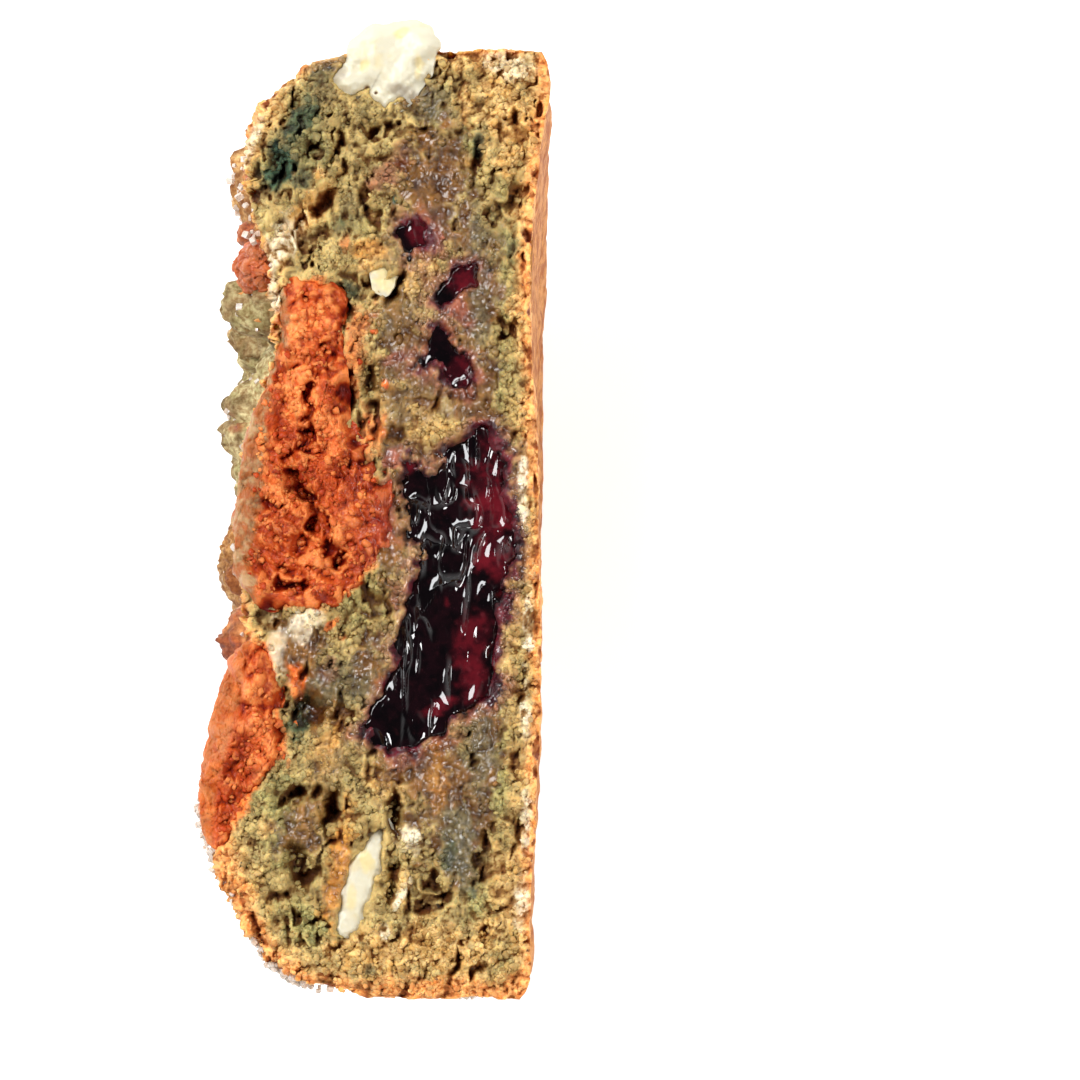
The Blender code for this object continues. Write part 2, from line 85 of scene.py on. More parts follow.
# %% [markdown]
# ## Random fields
#
# Crumb is lumps on lumps, so nearly every shape below is built from three fields that are worked out
# for a whole array of points at once. swell is smooth waves. nuggets splits space into cells, one for
# each crumb, and says how near a point is to the middle of its crumb, which crumb it is, and how far
# it is from the next one. warp bends the points first, so that no crumb comes out round.

# %% Lattice, swell, warp and nuggets
PRIMES = (374761393, 668265263, 1274126177)


def lattice(cell, seed):
    """A repeatable number from 0 to 1 for every whole-numbered point, in two dimensions or three."""
    n = sum(cell[:, k] * PRIMES[k] for k in range(cell.shape[1])) + seed * 362437
    n = n & 0xFFFFFFFF
    n = ((n ^ (n >> 13)) * 1103515245) & 0xFFFFFFFF
    return ((n ^ (n >> 16)) & 0xFFFFFF) / float(0xFFFFFF)


def lattices(cell, seed):
    """One such number for each axis."""
    return np.stack([lattice(cell, seed + k) for k in range(cell.shape[1])], axis=1)


def swell(points, size, seed):
    """Waves from -1 to 1: lattice values blended between the corners of each cell of that size."""
    p = np.asarray(points, float) / size
    whole = np.floor(p).astype(np.int64)
    part = p - whole
    part = part * part * (3 - 2 * part)
    total = np.zeros(len(p))
    for corner in np.ndindex(*(2,) * p.shape[1]):
        share = np.ones(len(p))
        for k, side in enumerate(corner):
            share = share * (part[:, k] if side else 1 - part[:, k])
        total += share * lattice(whole + np.array(corner), seed)
    return 2 * total - 1


def swells(points, *waves):
    """The sum of swells given as (height, size, seed)."""
    return sum(tall * swell(points, size, seed) for tall, size, seed in waves)


def warp(points, size, reach, seed):
    """The points, each pushed up to reach along every axis by swells of their own."""
    push = [swell(points, size, seed + k) for k in range(points.shape[1])]
    return points + reach * np.stack(push, axis=1)


def nuggets(points, size, seed):
    """Four numbers for crumbs of that size.

    round: 1 less the squared distance to the nearest seed point, over 0.55 of a cell, from 0.
    chance: the nearest seed's own random number, 0 to 1.
    gap: distance to the second nearest seed less distance to the nearest, 0 in a crack.
    tilt: the step from the nearest seed times a slope of its own, so every crumb leans its own way.
    """
    p = np.asarray(points, float) / size
    whole = np.floor(p).astype(np.int64)
    home = whole.copy()
    nearest = np.full(len(p), 9.0)
    second = np.full(len(p), 9.0)
    for step in np.ndindex(*(3,) * p.shape[1]):
        cell = whole + (np.array(step) - 1)
        far = ((cell + lattices(cell, seed) - p) ** 2).sum(axis=1)
        closer = far < nearest
        second = np.where(closer, nearest, np.minimum(second, far))
        nearest = np.where(closer, far, nearest)
        home[closer] = cell[closer]
    away = p - home - lattices(home, seed)
    tilt = (away * (2 * lattices(home, seed + 7) - 1)).sum(axis=1)
    gap = np.clip(np.sqrt(second) - np.sqrt(nearest), 0, 1)
    return np.clip(1 - nearest / 0.55, 0, 1), lattice(home, seed + 5), gap, tilt


def smooth(t):
    """An S-shaped step: 0 below 0, 1 above 1, and 3t^2 - 2t^3 between."""
    t = np.clip(t, 0, 1)
    return t * t * (3 - 2 * t)


def on_cut(x, y):
    """Points (x, y) of the cut, for the fields in two dimensions."""
    return np.stack([x, y], axis=1)


print("fields, for example swell at the origin:", round(float(swell(np.zeros((1, 3)), 1.0, 1)[0]), 3))

# %% [markdown]
# ## The outline of the cut
#
# The whole muffin is turned about an axis along X. Its cut is bounded on the left by the edge of the
# craggy dome and on the right by the almost straight edge of the flat base. Each edge is a few
# (y, x) points with a smooth curve through them. Below the cut the same curves are turned about the
# axis, which gives the dome, the rim and the base.

# %% Edges, curves and turned surfaces
MUFFIN_RADIUS = 47.5
AXIS_Y = -1.1
# Both edges as (y, x).
DOME_LINE = [
    (-48.6, -0.5), (-47.8, -3.8), (-47.0, -6.6), (-44.5, -10.5), (-42.3, -12.3), (-38.4, -14.3),
    (-35.7, -15.5), (-33.1, -16.0), (-29.0, -15.9), (-23.9, -14.7), (-20.5, -13.7), (-16.5, -12.8),
    (-10.5, -12.7), (-5.6, -13.1), (-2.0, -12.9), (5.3, -12.3), (12.6, -11.3), (18.0, -9.9),
    (22.3, -10.2), (26.4, -10.6), (28.9, -11.9), (32.4, -12.9), (35.4, -13.1), (38.9, -12.3),
    (41.6, -10.7), (44.0, -8.2), (45.6, -5.6), (46.4, -2.3),
]
BASE_LINE = [
    (-48.6, 14.4), (-47.2, 15.1), (-40.0, 15.5), (-18.6, 16.6), (5.0, 16.2), (28.0, 15.7),
    (38.0, 16.8), (45.0, 17.3), (46.4, 16.7),
]


def curve_through(points, at):
    """A smooth curve x(y) through (y, x) points: cubic pieces whose slopes come from the neighbours."""
    table = np.array(points, float)
    y, x = table[:, 0], table[:, 1]
    slope = np.gradient(x, y)
    at = np.clip(at, y[0], y[-1])
    k = np.clip(np.searchsorted(y, at, side="right") - 1, 0, len(y) - 2)
    width = y[k + 1] - y[k]
    t = (at - y[k]) / width
    return (
        (1 + 2 * t) * (1 - t) ** 2 * x[k]
        + t * (1 - t) ** 2 * width * slope[k]
        + t * t * (3 - 2 * t) * x[k + 1]
        + t * t * (t - 1) * width * slope[k + 1]
    )


def closed_edge(points, count):
    """A smooth closed curve through (x, y) points, as count points: Catmull-Rom pieces end to end."""
    p = np.array(points, float)
    t = np.arange(count) * len(p) / count
    k = t.astype(int)
    f = (t - k)[:, None]
    a, b, c, d = (p[(k + shift) % len(p)] for shift in (-1, 0, 1, 2))
    square, cube = 2 * a - 5 * b + 4 * c - d, 3 * b - a - 3 * c + d
    return 0.5 * (2 * b + (c - a) * f + square * f**2 + cube * f**3)


def side_x(line, y, drop):
    """X of the turned surface at y and at drop below the cut, blended from the line's two ends."""
    along = y - AXIS_Y
    radius = np.sqrt(along**2 + drop**2)
    share = 0.5 * (1 + along / np.maximum(radius, 1e-6))
    high, low = curve_through(line, AXIS_Y + radius), curve_through(line, AXIS_Y - radius)
    return share * high + (1 - share) * low


def line_distance(x, y, line):
    """Distance from each point to the nearest piece of an open line of (x, y) points."""
    line = np.array(line, float)
    best = np.full(len(x), 1e9)
    for (ax, ay), (bx, by) in zip(line[:-1], line[1:]):
        dx, dy = bx - ax, by - ay
        t = np.clip(((x - ax) * dx + (y - ay) * dy) / (dx * dx + dy * dy), 0, 1)
        best = np.minimum(best, np.hypot(x - ax - t * dx, y - ay - t * dy))
    return best


# Distances to an edge are worked out up to here, which no mask or height reaches beyond.
FAR = 7.0


def outside(x, y, edge, count=72):
    """Signed distance to a closed edge, negative inside, and FAR for all that lies beyond its box."""
    loop = closed_edge(edge, count)
    result = np.full(len(x), FAR)
    low, high = loop.min(axis=0) - FAR, loop.max(axis=0) + FAR
    near = (x > low[0]) & (x < high[0]) & (y > low[1]) & (y < high[1])
    x, y = x[near], y[near]
    far = line_distance(x, y, np.vstack([loop, loop[:1]]))
    crossings = np.zeros(len(x), int)
    for (ax, ay), (bx, by) in zip(loop, np.roll(loop, -1, axis=0)):
        spans = (ay > y) != (by > y)
        crossings += spans & (x < (bx - ax) * (y - ay) / (by - ay if by != ay else 1e-9) + ax)
    result[near] = np.where(crossings % 2 == 1, -far, np.minimum(far, FAR))
    return result


def edge_inside(x, y):
    """Distance inwards from the nearest edge of the cut: dome side, base side or either end."""
    sides = np.minimum(x - curve_through(DOME_LINE, y), curve_through(BASE_LINE, y) - x)
    return np.minimum(sides, MUFFIN_RADIUS - np.abs(y - AXIS_Y))


print("the cut is", round(2 * MUFFIN_RADIUS), "mm long and about",
      round(float(curve_through(BASE_LINE, 0.0) - curve_through(DOME_LINE, 0.0))), "mm wide")

# %% [markdown]
# ## What is where on the cut
#
# The crumb isn't one colour. Round the base it is golden and dry, in the middle it is wet and brown,
# berries have stained it teal and rose, and orange dough has bled into it. Each zone is a few turned
# ellipses, whose edges are broken up by a swell. Shapes read these masks as well as colours: dry
# crumb is coarse and wet crumb is smooth.

# %% The fillings' edges
# Each is a closed line of (x, y) points on the cut.
JAM_EDGE = [
    (11.0, 8.4), (12.5, 6.4), (13.4, 2.4), (14.0, -2.1), (13.6, -6.1), (12.4, -9.1), (12.2, -13.6),
    (11.0, -17.8), (8.0, -20.6), (5.0, -22.4), (2.5, -24.2), (0.0, -23.4), (-0.9, -20.8), (0.7, -17.6),
    (1.9, -14.6), (2.6, -10.6), (3.2, -7.1), (4.7, -3.9), (3.4, -1.2), (2.9, 1.9), (2.4, 4.6),
    (2.9, 6.6), (4.2, 5.3), (6.1, 5.2), (8.3, 7.4), (9.7, 8.7),
]
ORANGE_EDGE = [
    (-7.5, 23.1), (-5.5, 22.8), (-4.3, 21.5), (-4.4, 18.9), (-3.9, 15.2), (-3.4, 9.4), (-2.0, 6.9),
    (-0.3, 4.6), (0.7, 1.4), (0.5, -2.1), (-0.6, -4.8), (-2.6, -6.6), (-4.0, -8.2), (-7.0, -9.0),
    (-10.3, -8.6), (-13.9, -6.4), (-14.2, -2.6), (-13.7, 2.4), (-12.9, 7.4), (-11.8, 11.2),
    (-10.3, 14.2), (-9.1, 17.0), (-8.9, 20.2), (-8.4, 22.2),
]
ORANGE_SIDE_EDGE = [
    (-11.6, -13.6), (-10.2, -17.6), (-10.3, -21.6), (-11.3, -25.1), (-12.5, -28.1), (-13.9, -30.8),
    (-15.9, -33.4), (-17.4, -31.6), (-17.5, -27.0), (-17.0, -22.6), (-15.9, -18.4), (-14.3, -14.6),
    (-12.9, -12.8),
]
WHITE_TOP_EDGE = [
    (-2.6, 46.9), (-1.3, 48.4), (0.5, 49.0), (2.5, 49.4), (4.3, 49.3), (5.7, 48.4), (6.5, 46.7),
    (5.5, 45.2), (4.5, 43.6), (3.3, 42.2), (2.1, 40.9), (0.1, 41.0), (-0.9, 42.1), (-2.8, 41.7),
    (-3.9, 42.6), (-4.2, 44.0), (-3.2, 44.9), (-2.6, 45.8),
]
WHITE_LOW_EDGE = [
    (0.7, -30.1), (1.4, -31.4), (0.8, -33.4), (0.5, -35.8), (-0.1, -38.8), (-1.8, -42.1), (-3.6, -42.4),
    (-4.3, -41.1), (-3.5, -38.6), (-2.8, -36.6), (-2.2, -34.8), (-1.4, -32.8), (-0.3, -31.0),
]
WHITE_BIT_EDGE = [(-0.4, 24.6), (1.2, 25.3), (1.9, 23.4), (1.2, 21.8), (-0.1, 22.8)]
BERRY_HIGH_EDGE = [
    (2.2, 28.2), (3.3, 29.3), (4.6, 29.6), (5.6, 28.6), (5.4, 27.0), (4.3, 26.0), (3.5, 25.0),
    (2.6, 26.4),
]
BERRY_MID_EDGE = [
    (6.1, 21.7), (6.9, 23.2), (8.4, 24.5), (9.7, 24.7), (9.9, 23.6), (8.8, 22.0), (7.5, 20.9),
    (6.4, 20.6),
]
BERRY_LOW_EDGE = [
    (5.6, 18.8), (6.7, 19.4), (7.5, 17.6), (8.4, 15.9), (9.3, 14.2), (8.8, 12.8), (7.6, 13.0),
    (6.2, 14.3), (4.8, 14.4), (3.5, 14.2), (3.7, 15.5), (5.0, 16.5),
]
FILLING_EDGES = {
    "jam_centre": JAM_EDGE, "orange_centre": ORANGE_EDGE, "orange_side": ORANGE_SIDE_EDGE,
    "white_chunk_top": WHITE_TOP_EDGE, "white_chunk_low": WHITE_LOW_EDGE, "white_bit": WHITE_BIT_EDGE,
    "berry_high": BERRY_HIGH_EDGE, "berry_mid": BERRY_MID_EDGE, "berry_low": BERRY_LOW_EDGE,
}
BERRY_EDGES = [loop for name, loop in FILLING_EDGES.items() if "berry" in name]
print(len(FILLING_EDGES), "fillings show in the cut")

# %% The zones of the crumb
# Beyond these places along Y the crumb is baked drier: its low end, and its high one.
LOW_END_Y = -27.0
HIGH_END_Y = 34.0
# Each patch is (x, y, half width, half length, turn in degrees, strength).
ZONES = {
    "gold": [
        (13.2, 40.4, 4.4, 5.6, 0, 1.0), (-11.6, 38.0, 1.5, 5.4, -20, 1.0),
        (-6.8, 30.0, 1.3, 3.8, -38, 1.0), (-9.6, 25.0, 0.8, 3.6, 5, 0.8), (4.3, 23.4, 1.5, 2.7, -28, 0.9),
        (5.0, 8.6, 4.0, 2.4, 0, 0.6), (-4.8, -23.7, 1.3, 3.3, -20, 0.9), (1.4, -26.4, 2.6, 2.2, 0, 0.7),
        (-11.8, -15.0, 0.9, 5.2, 8, 1.0), (4.0, -43.6, 10.0, 2.6, 0, 0.9), (-0.8, 25.9, 1.8, 1.6, 0, 0.9),
        (13.4, -38.0, 2.4, 7.0, 0, 0.7), (-8.8, 34.4, 0.7, 0.8, 0, 1.0), (-5.4, 34.0, 0.6, 0.6, 0, 1.0),
        (-11.0, -31.6, 0.9, 1.2, 0, 0.9), (13.6, -8.0, 1.0, 22.0, 0, 0.5),
        (2.6, -37.4, 0.9, 2.6, -10, 0.7),
    ],
    "leaf": [
        (13.4, 26.0, 1.8, 9.0, 0, 0.6), (9.6, 38.6, 0.8, 2.6, 0, 0.9), (13.0, 10.0, 1.4, 8.0, 0, 0.6),
        (-6.6, 36.6, 1.0, 1.2, 0, 0.9), (-9.4, -30.6, 2.6, 5.0, 20, 0.8),
        (-7.0, -41.0, 3.6, 1.8, -20, 0.9), (12.4, -24.0, 1.2, 9.0, 0, 0.7),
        (10.6, -38.6, 1.8, 2.4, 0, 0.7), (-2.0, 29.0, 2.6, 1.4, 0, 0.5), (-7.4, 36.6, 3.6, 4.6, 0, 0.4),
        (6.4, 39.8, 0.9, 1.1, 0, 0.9), (-1.4, -8.4, 2.2, 2.8, 0, 0.5), (14.0, -44.0, 2.2, 3.0, 0, 0.4),
    ],
    "pale": [
        (-8.6, 27.6, 0.9, 3.4, -32, 0.75), (-10.2, 23.0, 0.6, 4.0, 5, 0.8),
        (-7.4, -11.2, 2.2, 1.3, 20, 0.6), (-9.9, -12.4, 0.8, 3.0, 5, 0.5), (3.9, -32.6, 1.3, 1.4, 0, 0.8),
        (2.6, -38.2, 0.5, 1.6, -30, 0.8), (-12.4, 37.2, 0.7, 3.6, -25, 0.6),
        (13.6, 44.6, 2.4, 1.2, 0, 0.5), (1.0, -41.6, 0.5, 0.9, 0, 0.7), (-9.6, 27.0, 1.2, 3.4, -20, 0.8),
        (15.1, -20.4, 0.6, 4.0, 0, 0.7), (14.9, 3.6, 0.5, 3.6, 0, 0.9), (15.3, -11.0, 0.5, 2.8, 0, 0.9),
        (15.1, -31.0, 0.6, 3.4, 0, 0.7), (14.7, -39.0, 0.7, 2.0, 0, 0.7),
    ],
    "teal": [
        (-9.6, 34.8, 1.8, 2.3, 0, 1.0), (-7.6, 39.4, 1.2, 2.6, -25, 0.9), (-7.4, 33.4, 1.1, 1.0, 0, 0.7),
        (10.4, 36.6, 0.6, 1.9, 0, 0.8), (10.2, 41.0, 0.6, 1.0, 0, 0.4), (13.6, 26.6, 0.7, 1.4, 0, 0.5),
        (-7.9, -20.6, 1.2, 2.6, -10, 0.9), (-2.8, 22.4, 1.1, 0.9, 0, 0.8), (-3.6, 29.0, 0.7, 1.0, 0, 0.6),
        (7.4, -34.0, 0.8, 1.5, 0, 0.6), (-0.6, -45.6, 0.7, 0.5, 0, 0.6), (9.7, -38.0, 0.5, 0.7, 0, 0.6),
        (-6.0, 43.6, 1.4, 0.9, 30, 0.5), (2.0, 31.4, 0.3, 0.5, 0, 1.0), (-7.2, 36.4, 2.6, 3.6, 0, 0.3),
    ],
    "wet": [
        (5.6, 32.6, 3.7, 7.4, -5, 1.0), (9.6, 20.4, 2.7, 13.0, 0, 1.0), (2.6, 17.0, 2.8, 6.0, 0, 0.8),
        (10.9, -20.0, 1.9, 11.0, 0, 1.0), (4.6, -25.6, 4.0, 3.6, 0, 1.0), (1.4, -3.0, 1.6, 5.6, 0, 1.0),
        (-0.8, -15.6, 2.2, 4.2, 0, 1.0), (-8.0, -13.0, 2.8, 3.6, 0, 1.0), (8.8, -31.4, 2.1, 5.0, 0, 1.0),
        (-5.4, -18.0, 2.6, 3.4, 0, 1.0), (-3.6, -35.6, 0.9, 5.4, -12, 0.8), (5.4, 40.4, 1.8, 2.4, 0, 0.6),
        (-4.6, 45.2, 3.0, 0.9, 15, 0.9), (1.4, 12.0, 1.6, 3.0, 0, 0.6), (5.0, 11.6, 3.0, 3.0, 0, 0.75),
        (-6.8, -31.4, 2.0, 2.8, 0, 0.8), (-4.0, -24.0, 1.6, 6.0, -15, 0.5),
        (11.4, 25.4, 1.6, 5.0, 0, 0.6), (6.6, -28.0, 4.6, 6.0, 0, 1.0), (10.2, 12.0, 2.6, 6.0, 0, 0.9),
        (3.2, 22.0, 3.0, 4.0, 0, 0.5), (1.6, 7.6, 1.6, 2.4, 0, 0.9), (-7.4, -31.6, 2.8, 3.2, 0, 0.9),
    ],
    "rose": [
        (0.9, 33.6, 2.4, 1.0, 35, 0.7), (2.6, 35.2, 0.9, 1.4, 0, 0.5), (6.4, 27.4, 0.9, 2.2, 10, 0.8),
        (8.6, 20.4, 1.0, 2.0, 30, 0.8), (2.6, 15.7, 1.8, 0.8, 15, 0.8), (9.4, 12.6, 0.8, 1.8, 0, 0.7),
        (9.4, -12.6, 1.5, 3.6, 0, 0.9), (12.6, -17.2, 1.2, 0.5, 15, 0.9), (1.2, 1.2, 1.0, 4.4, 0, 0.7),
        (1.8, 5.4, 1.1, 1.4, 0, 0.9), (8.0, -22.4, 1.8, 0.9, 30, 0.5), (-4.6, -15.6, 0.9, 1.1, 0, 0.4),
    ],
    "orange": [
        (-1.6, 18.4, 1.4, 2.6, -10, 0.5), (-2.4, 14.6, 1.6, 3.0, 0, 0.6), (-0.4, 8.0, 1.4, 2.6, 0, 0.55),
        (-7.8, -16.6, 0.8, 1.8, 10, 0.8), (-9.6, -21.0, 0.5, 4.4, 12, 0.9),
        (-2.9, 27.2, 0.5, 0.8, 0, 0.5), (-4.3, -11.0, 0.8, 0.3, 40, 0.9),
        (-3.2, -12.4, 0.35, 0.35, 0, 0.9), (1.0, 12.9, 0.35, 0.4, 0, 0.9),
        (-9.4, -24.0, 0.5, 0.7, 0, 0.8),
    ],
    "amber": [
        (-3.6, -34.6, 1.1, 6.0, -12, 0.9), (-0.6, 26.4, 1.4, 1.0, 0, 0.7), (10.9, 45.4, 1.2, 1.0, 0, 0.5),
        (6.2, -26.0, 1.0, 3.0, 0, 0.5), (-4.0, -22.4, 0.5, 1.8, -20, 0.6),
    ],
    "grey": [
        (10.4, 24.0, 1.2, 8.0, 0, 0.7), (8.4, -33.0, 2.0, 4.2, 0, 0.9), (6.2, 41.2, 2.0, 2.4, 0, 0.8),
        (-3.6, -17.0, 2.4, 2.6, 0, 0.8), (10.4, -24.0, 1.4, 8.0, 0, 0.7), (-2.4, 30.6, 1.6, 2.0, 0, 0.5),
        (-5.0, 42.0, 1.6, 1.6, 0, 0.5), (-0.6, -17.6, 1.4, 2.2, 0, 0.6),
    ],
}


def in_ellipse(x, y, px, py, wide, long, turn):
    """Steps (u, v) from (px, py) along the axes of a turned ellipse, in its half width and half length."""
    c, s = math.cos(math.radians(turn)), math.sin(math.radians(turn))
    return ((x - px) * c + (y - py) * s) / wide, ((y - py) * c - (x - px) * s) / long


def spread(x, y, patches, seed):
    """0 to strength inside soft, turned ellipses: a step at radius 1, moved by three swells."""
    wobble = swells(on_cut(x, y), (0.34, 2.2, seed), (0.34, 1.0, seed + 1), (0.26, 0.45, seed + 2))
    best = np.zeros(len(x))
    for *ellipse, strength in patches:
        radius = np.hypot(*in_ellipse(x, y, *ellipse))
        best = np.maximum(best, strength * smooth((1.3 + wobble - radius) / 0.8))
    return best


def from_orange(x, y):
    """Signed distance to the nearer piece of orange dough, negative inside."""
    return np.minimum(outside(x, y, ORANGE_EDGE), outside(x, y, ORANGE_SIDE_EDGE, 40))


def ragged_edge(x, y):
    """Millimetres by which every filling's border wanders: swells of 2.2, 1.0 and 0.5 mm."""
    return swells(on_cut(x, y), (0.6, 2.2, 45), (0.35, 1.0, 46), (0.2, 0.5, 47))


def crumb_zones(x, y):
    """Every mask of the crumb at once, from 0 to 1, for arrays of x and y on the cut."""
    ragged = swells(on_cut(x, y), (1.0, 1.7, 40), (0.6, 0.7, 41), (0.4, 0.35, 42))

    def near(distance, reach, wander, soft):
        """1 where a distance is well under reach, 0 beyond: a step that wide, moved by the ragged swell."""
        return smooth((reach + wander * ragged - distance) / soft)

    from_base = curve_through(BASE_LINE, y) - x
    rim = np.minimum(x - curve_through(DOME_LINE, y), MUFFIN_RADIUS - np.abs(y - AXIS_Y))
    masks = {name: spread(x, y, patches, 50 + 3 * k) for k, (name, patches) in enumerate(ZONES.items())}
    low_end = smooth((LOW_END_Y - y) / 8.0)
    high_end = smooth((y - HIGH_END_Y) / 4.0)
    gold = np.maximum.reduce([
        near(from_base, 2.6, 0.8, 1.6), high_end * near(rim, 2.4, 0.8, 1.6),
        low_end * near(rim, 4.6, 1.0, 3.0),
    ])
    masks["gold"] = np.maximum(masks["gold"], 0.9 * gold)
    jam = outside(x, y, JAM_EDGE)
    berries = np.minimum.reduce([outside(x, y, loop, 24) for loop in BERRY_EDGES])
    orange = from_orange(x, y)
    wander = ragged_edge(x, y)
    stain = np.minimum(jam - 0.8 * smooth((x - 8.0) / 4.0), berries) + wander
    masks["rose"] = np.maximum(masks["rose"], 0.7 * near(stain, 2.0, 0.8, 2.2))
    masks["wine"] = near(stain, 0.5, 0.6, 0.9)
    masks["orange"] = np.maximum(masks["orange"], near(orange + wander, 0.9, 0.5, 1.2))
    masks["wet"] = masks["wet"] * (1 - 0.5 * masks["gold"])
    masks["gloss"] = np.maximum(0.5 * masks["wet"], 0.8 * near(stain, 1.6, 0.5, 1.4))
    masks["toast"] = np.maximum.reduce([
        near(from_base, 1.5, 0.5, 1.1), low_end * near(rim, 2.6, 0.6, 1.3),
        0.8 * high_end * near(rim, 0.9, 0.5, 0.8), 0.8 * near(rim, 0.3, 0.3, 0.5),
    ])
    return masks


sample = crumb_zones(np.array([15.0, 8.0]), np.array([0.0, 15.0]))
print("gold and wet at the base edge:", np.round([sample["gold"][0], sample["wet"][0]], 2))

# %% [markdown]
# ## Meshes from arrays
#
# Each piece is one closed mesh. The points and faces come as arrays and lists, the faces are turned
# to point outwards, and the masks go along as attributes, one number for each point, which the
# materials read back by name.

# %% From arrays to a finished piece
def add_piece(name, points, faces, material, replaces=(), masks=None, turn_out=True, facets=False):
    """A mesh object at the origin from mm points, with material and masks, hiding the frame parts it
    replaces.
    """
    mesh = bpy.data.meshes.new(name)
    mesh.from_pydata((np.asarray(points) * MM).tolist(), [], faces)
    if turn_out:
        shell = bmesh.new()
        shell.from_mesh(mesh)
        bmesh.ops.recalc_face_normals(shell, faces=shell.faces)
        shell.to_mesh(mesh)
        shell.free()
    if not facets:
        mesh.shade_smooth()
    for mask, values in (masks or {}).items():
        mesh.attributes.new(mask, "FLOAT", "POINT").data.foreach_set("value", values.astype(np.float32))
    mesh.materials.append(material)
    piece = bpy.data.objects.new(name, mesh)
    bpy.context.scene.collection.objects.link(piece)
    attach(piece, "root")
    for node in replaces:
        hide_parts(node)
    triangles = sum(len(p.vertices) - 2 for p in mesh.polygons)
    low, high = np.min(points, axis=0), np.max(points, axis=0)
    print(f"{name}: {triangles} triangles, x {low[0]:.2f} to {high[0]:.2f}, top {high[2]:.2f} mm")


def grid_faces(rows, columns):
    """Quads of a grid with that many rows and columns of cells, numbered row by row."""
    r, c = np.meshgrid(np.arange(rows), np.arange(columns), indexing="ij")
    first = (r * (columns + 1) + c).ravel()
    return np.stack([first, first + 1, first + columns + 2, first + columns + 1], axis=1).tolist()


def ring_faces(first, count, rings):
    """Quads of rings of count points each, closed round, the first ring starting at point first."""
    r, c = np.meshgrid(np.arange(rings - 1), np.arange(count), indexing="ij")
    here, after = first + r * count + c, first + r * count + (c + 1) % count
    return np.stack([here, here + count, after + count, after], axis=-1).reshape(-1, 4).tolist()


def cap_faces(first, columns, rows):
    """A lid across a loop that runs along columns, up rows, back and down: quads between two end fans."""
    loop = [first + k for k in range(2 * (columns + rows))]
    bottom, right = loop[: columns + 1], loop[columns : columns + rows + 1]
    top = loop[columns + rows : 2 * columns + rows + 1]
    left = [loop[0]] + loop[: 2 * columns + rows - 1 : -1]
    faces = [tuple(bottom + [right[1], left[1]]), tuple(top + [left[rows - 1], right[rows - 1]])]
    return faces + [(left[k], right[k], right[k + 1], left[k + 1]) for k in range(1, rows - 1)]


# %% [markdown]
# ## Shader maths
#
# A material's tree is easier to read as an expression. Wire holds one output socket. Adding,
# subtracting or multiplying wires adds a Math node, also with a plain number on the left, and its one
# method node adds any other node.

# %% The Wire class
class Wire:
    """An output socket in a material's tree, or just the tree when there is no socket yet."""

    def __init__(self, tree, socket=None):
        self.tree = tree
        self.socket = socket

    def node(self, kind, settings=None, sockets=None, out=0):
        """Adds a node: its settings first, then its sockets' values or wires."""
        made = self.tree.nodes.new("ShaderNode" + kind)
        for name, value in (settings or {}).items():
            setattr(made, name, value)
        for name, value in (sockets or {}).items():
            if isinstance(value, Wire):
                self.tree.links.new(value.socket, made.inputs[name])
            else:
                made.inputs[name].default_value = value
        return Wire(self.tree, made.outputs[out])

    def maths(self, operation, left, right):
        return self.node("Math", {"operation": operation}, {0: left, 1: right})

    def __add__(self, other):
        return self.maths("ADD", self, other)

    __radd__ = __add__

    def __mul__(self, other):
        return self.maths("MULTIPLY", self, other)

    __rmul__ = __mul__

    def __sub__(self, other):
        return self.maths("SUBTRACT", self, other)

    def __rsub__(self, other):
        return self.maths("SUBTRACT", other, self)

    def step(self, low, high):
        """0 where this value is under low, 1 over high, and a smooth step between."""
        settings = {"interpolation_type": "SMOOTHSTEP"}
        return self.node("MapRange", settings, {"Value": self, "From Min": low, "From Max": high})

    def mask(self, name):
        """The piece's own attribute of that name."""
        return self.node("Attribute", {"attribute_name": name}, None, 2)

    def noise(self, size, detail=2.0, rough=0.55, stretch=(1, 1, 1), shift=0.0):
        """Noise from 0 to 1 with features of about size millimetres, in Object coordinates."""
        place = self.node("TexCoord", None, None, 3)
        place = self.node("Mapping", None, {"Vector": place, "Scale": stretch, "Location": (shift, 0, 0)})
        sockets = {"Vector": place, "Scale": 1 / (size * MM), "Detail": detail, "Roughness": rough}
        return self.node("TexNoise", None, sockets)

    def mix(self, share, first, second, blend="MIX"):
        """Two colours mixed: share of the second over the first."""
        settings = {"data_type": "RGBA", "blend_type": blend}
        return self.node("Mix", settings, {0: share, 6: first, 7: second}, 2)

    def tinted(self, share, colour, tint):
        """The colour, and by share the colour times a tint."""
        return self.mix(share, colour, self.mix(1.0, colour, tint, "MULTIPLY"))

    def bump(self, height, distance, strength, normal=None):
        """A normal bent by a height from 0 to 1 that stands for distance millimetres."""
        sockets = {"Strength": strength, "Distance": distance * MM, "Height": height}
        if normal:
            sockets["Normal"] = normal
        return self.node("Bump", None, sockets)


def shade(red, green, blue):
    """A colour as a screen shows it, 0 to 255, turned into the linear light that shaders work in."""
    part = [v / 255 for v in (red, green, blue)]
    linear = [v / 12.92 if v <= 0.04045 else ((v + 0.055) / 1.055) ** 2.4 for v in part]
    return (*linear, 1.0)


def finish(name, **constants):
    """A new material: its tree as a Wire and its Principled shader, whose plain sockets are set."""
    made = bpy.data.materials.new(name)
    made.use_nodes = True
    shader = made.node_tree.nodes["Principled BSDF"]
    for socket, value in constants.items():
        shader.inputs[socket.replace("_", " ")].default_value = value
    return made, Wire(made.node_tree), shader.inputs


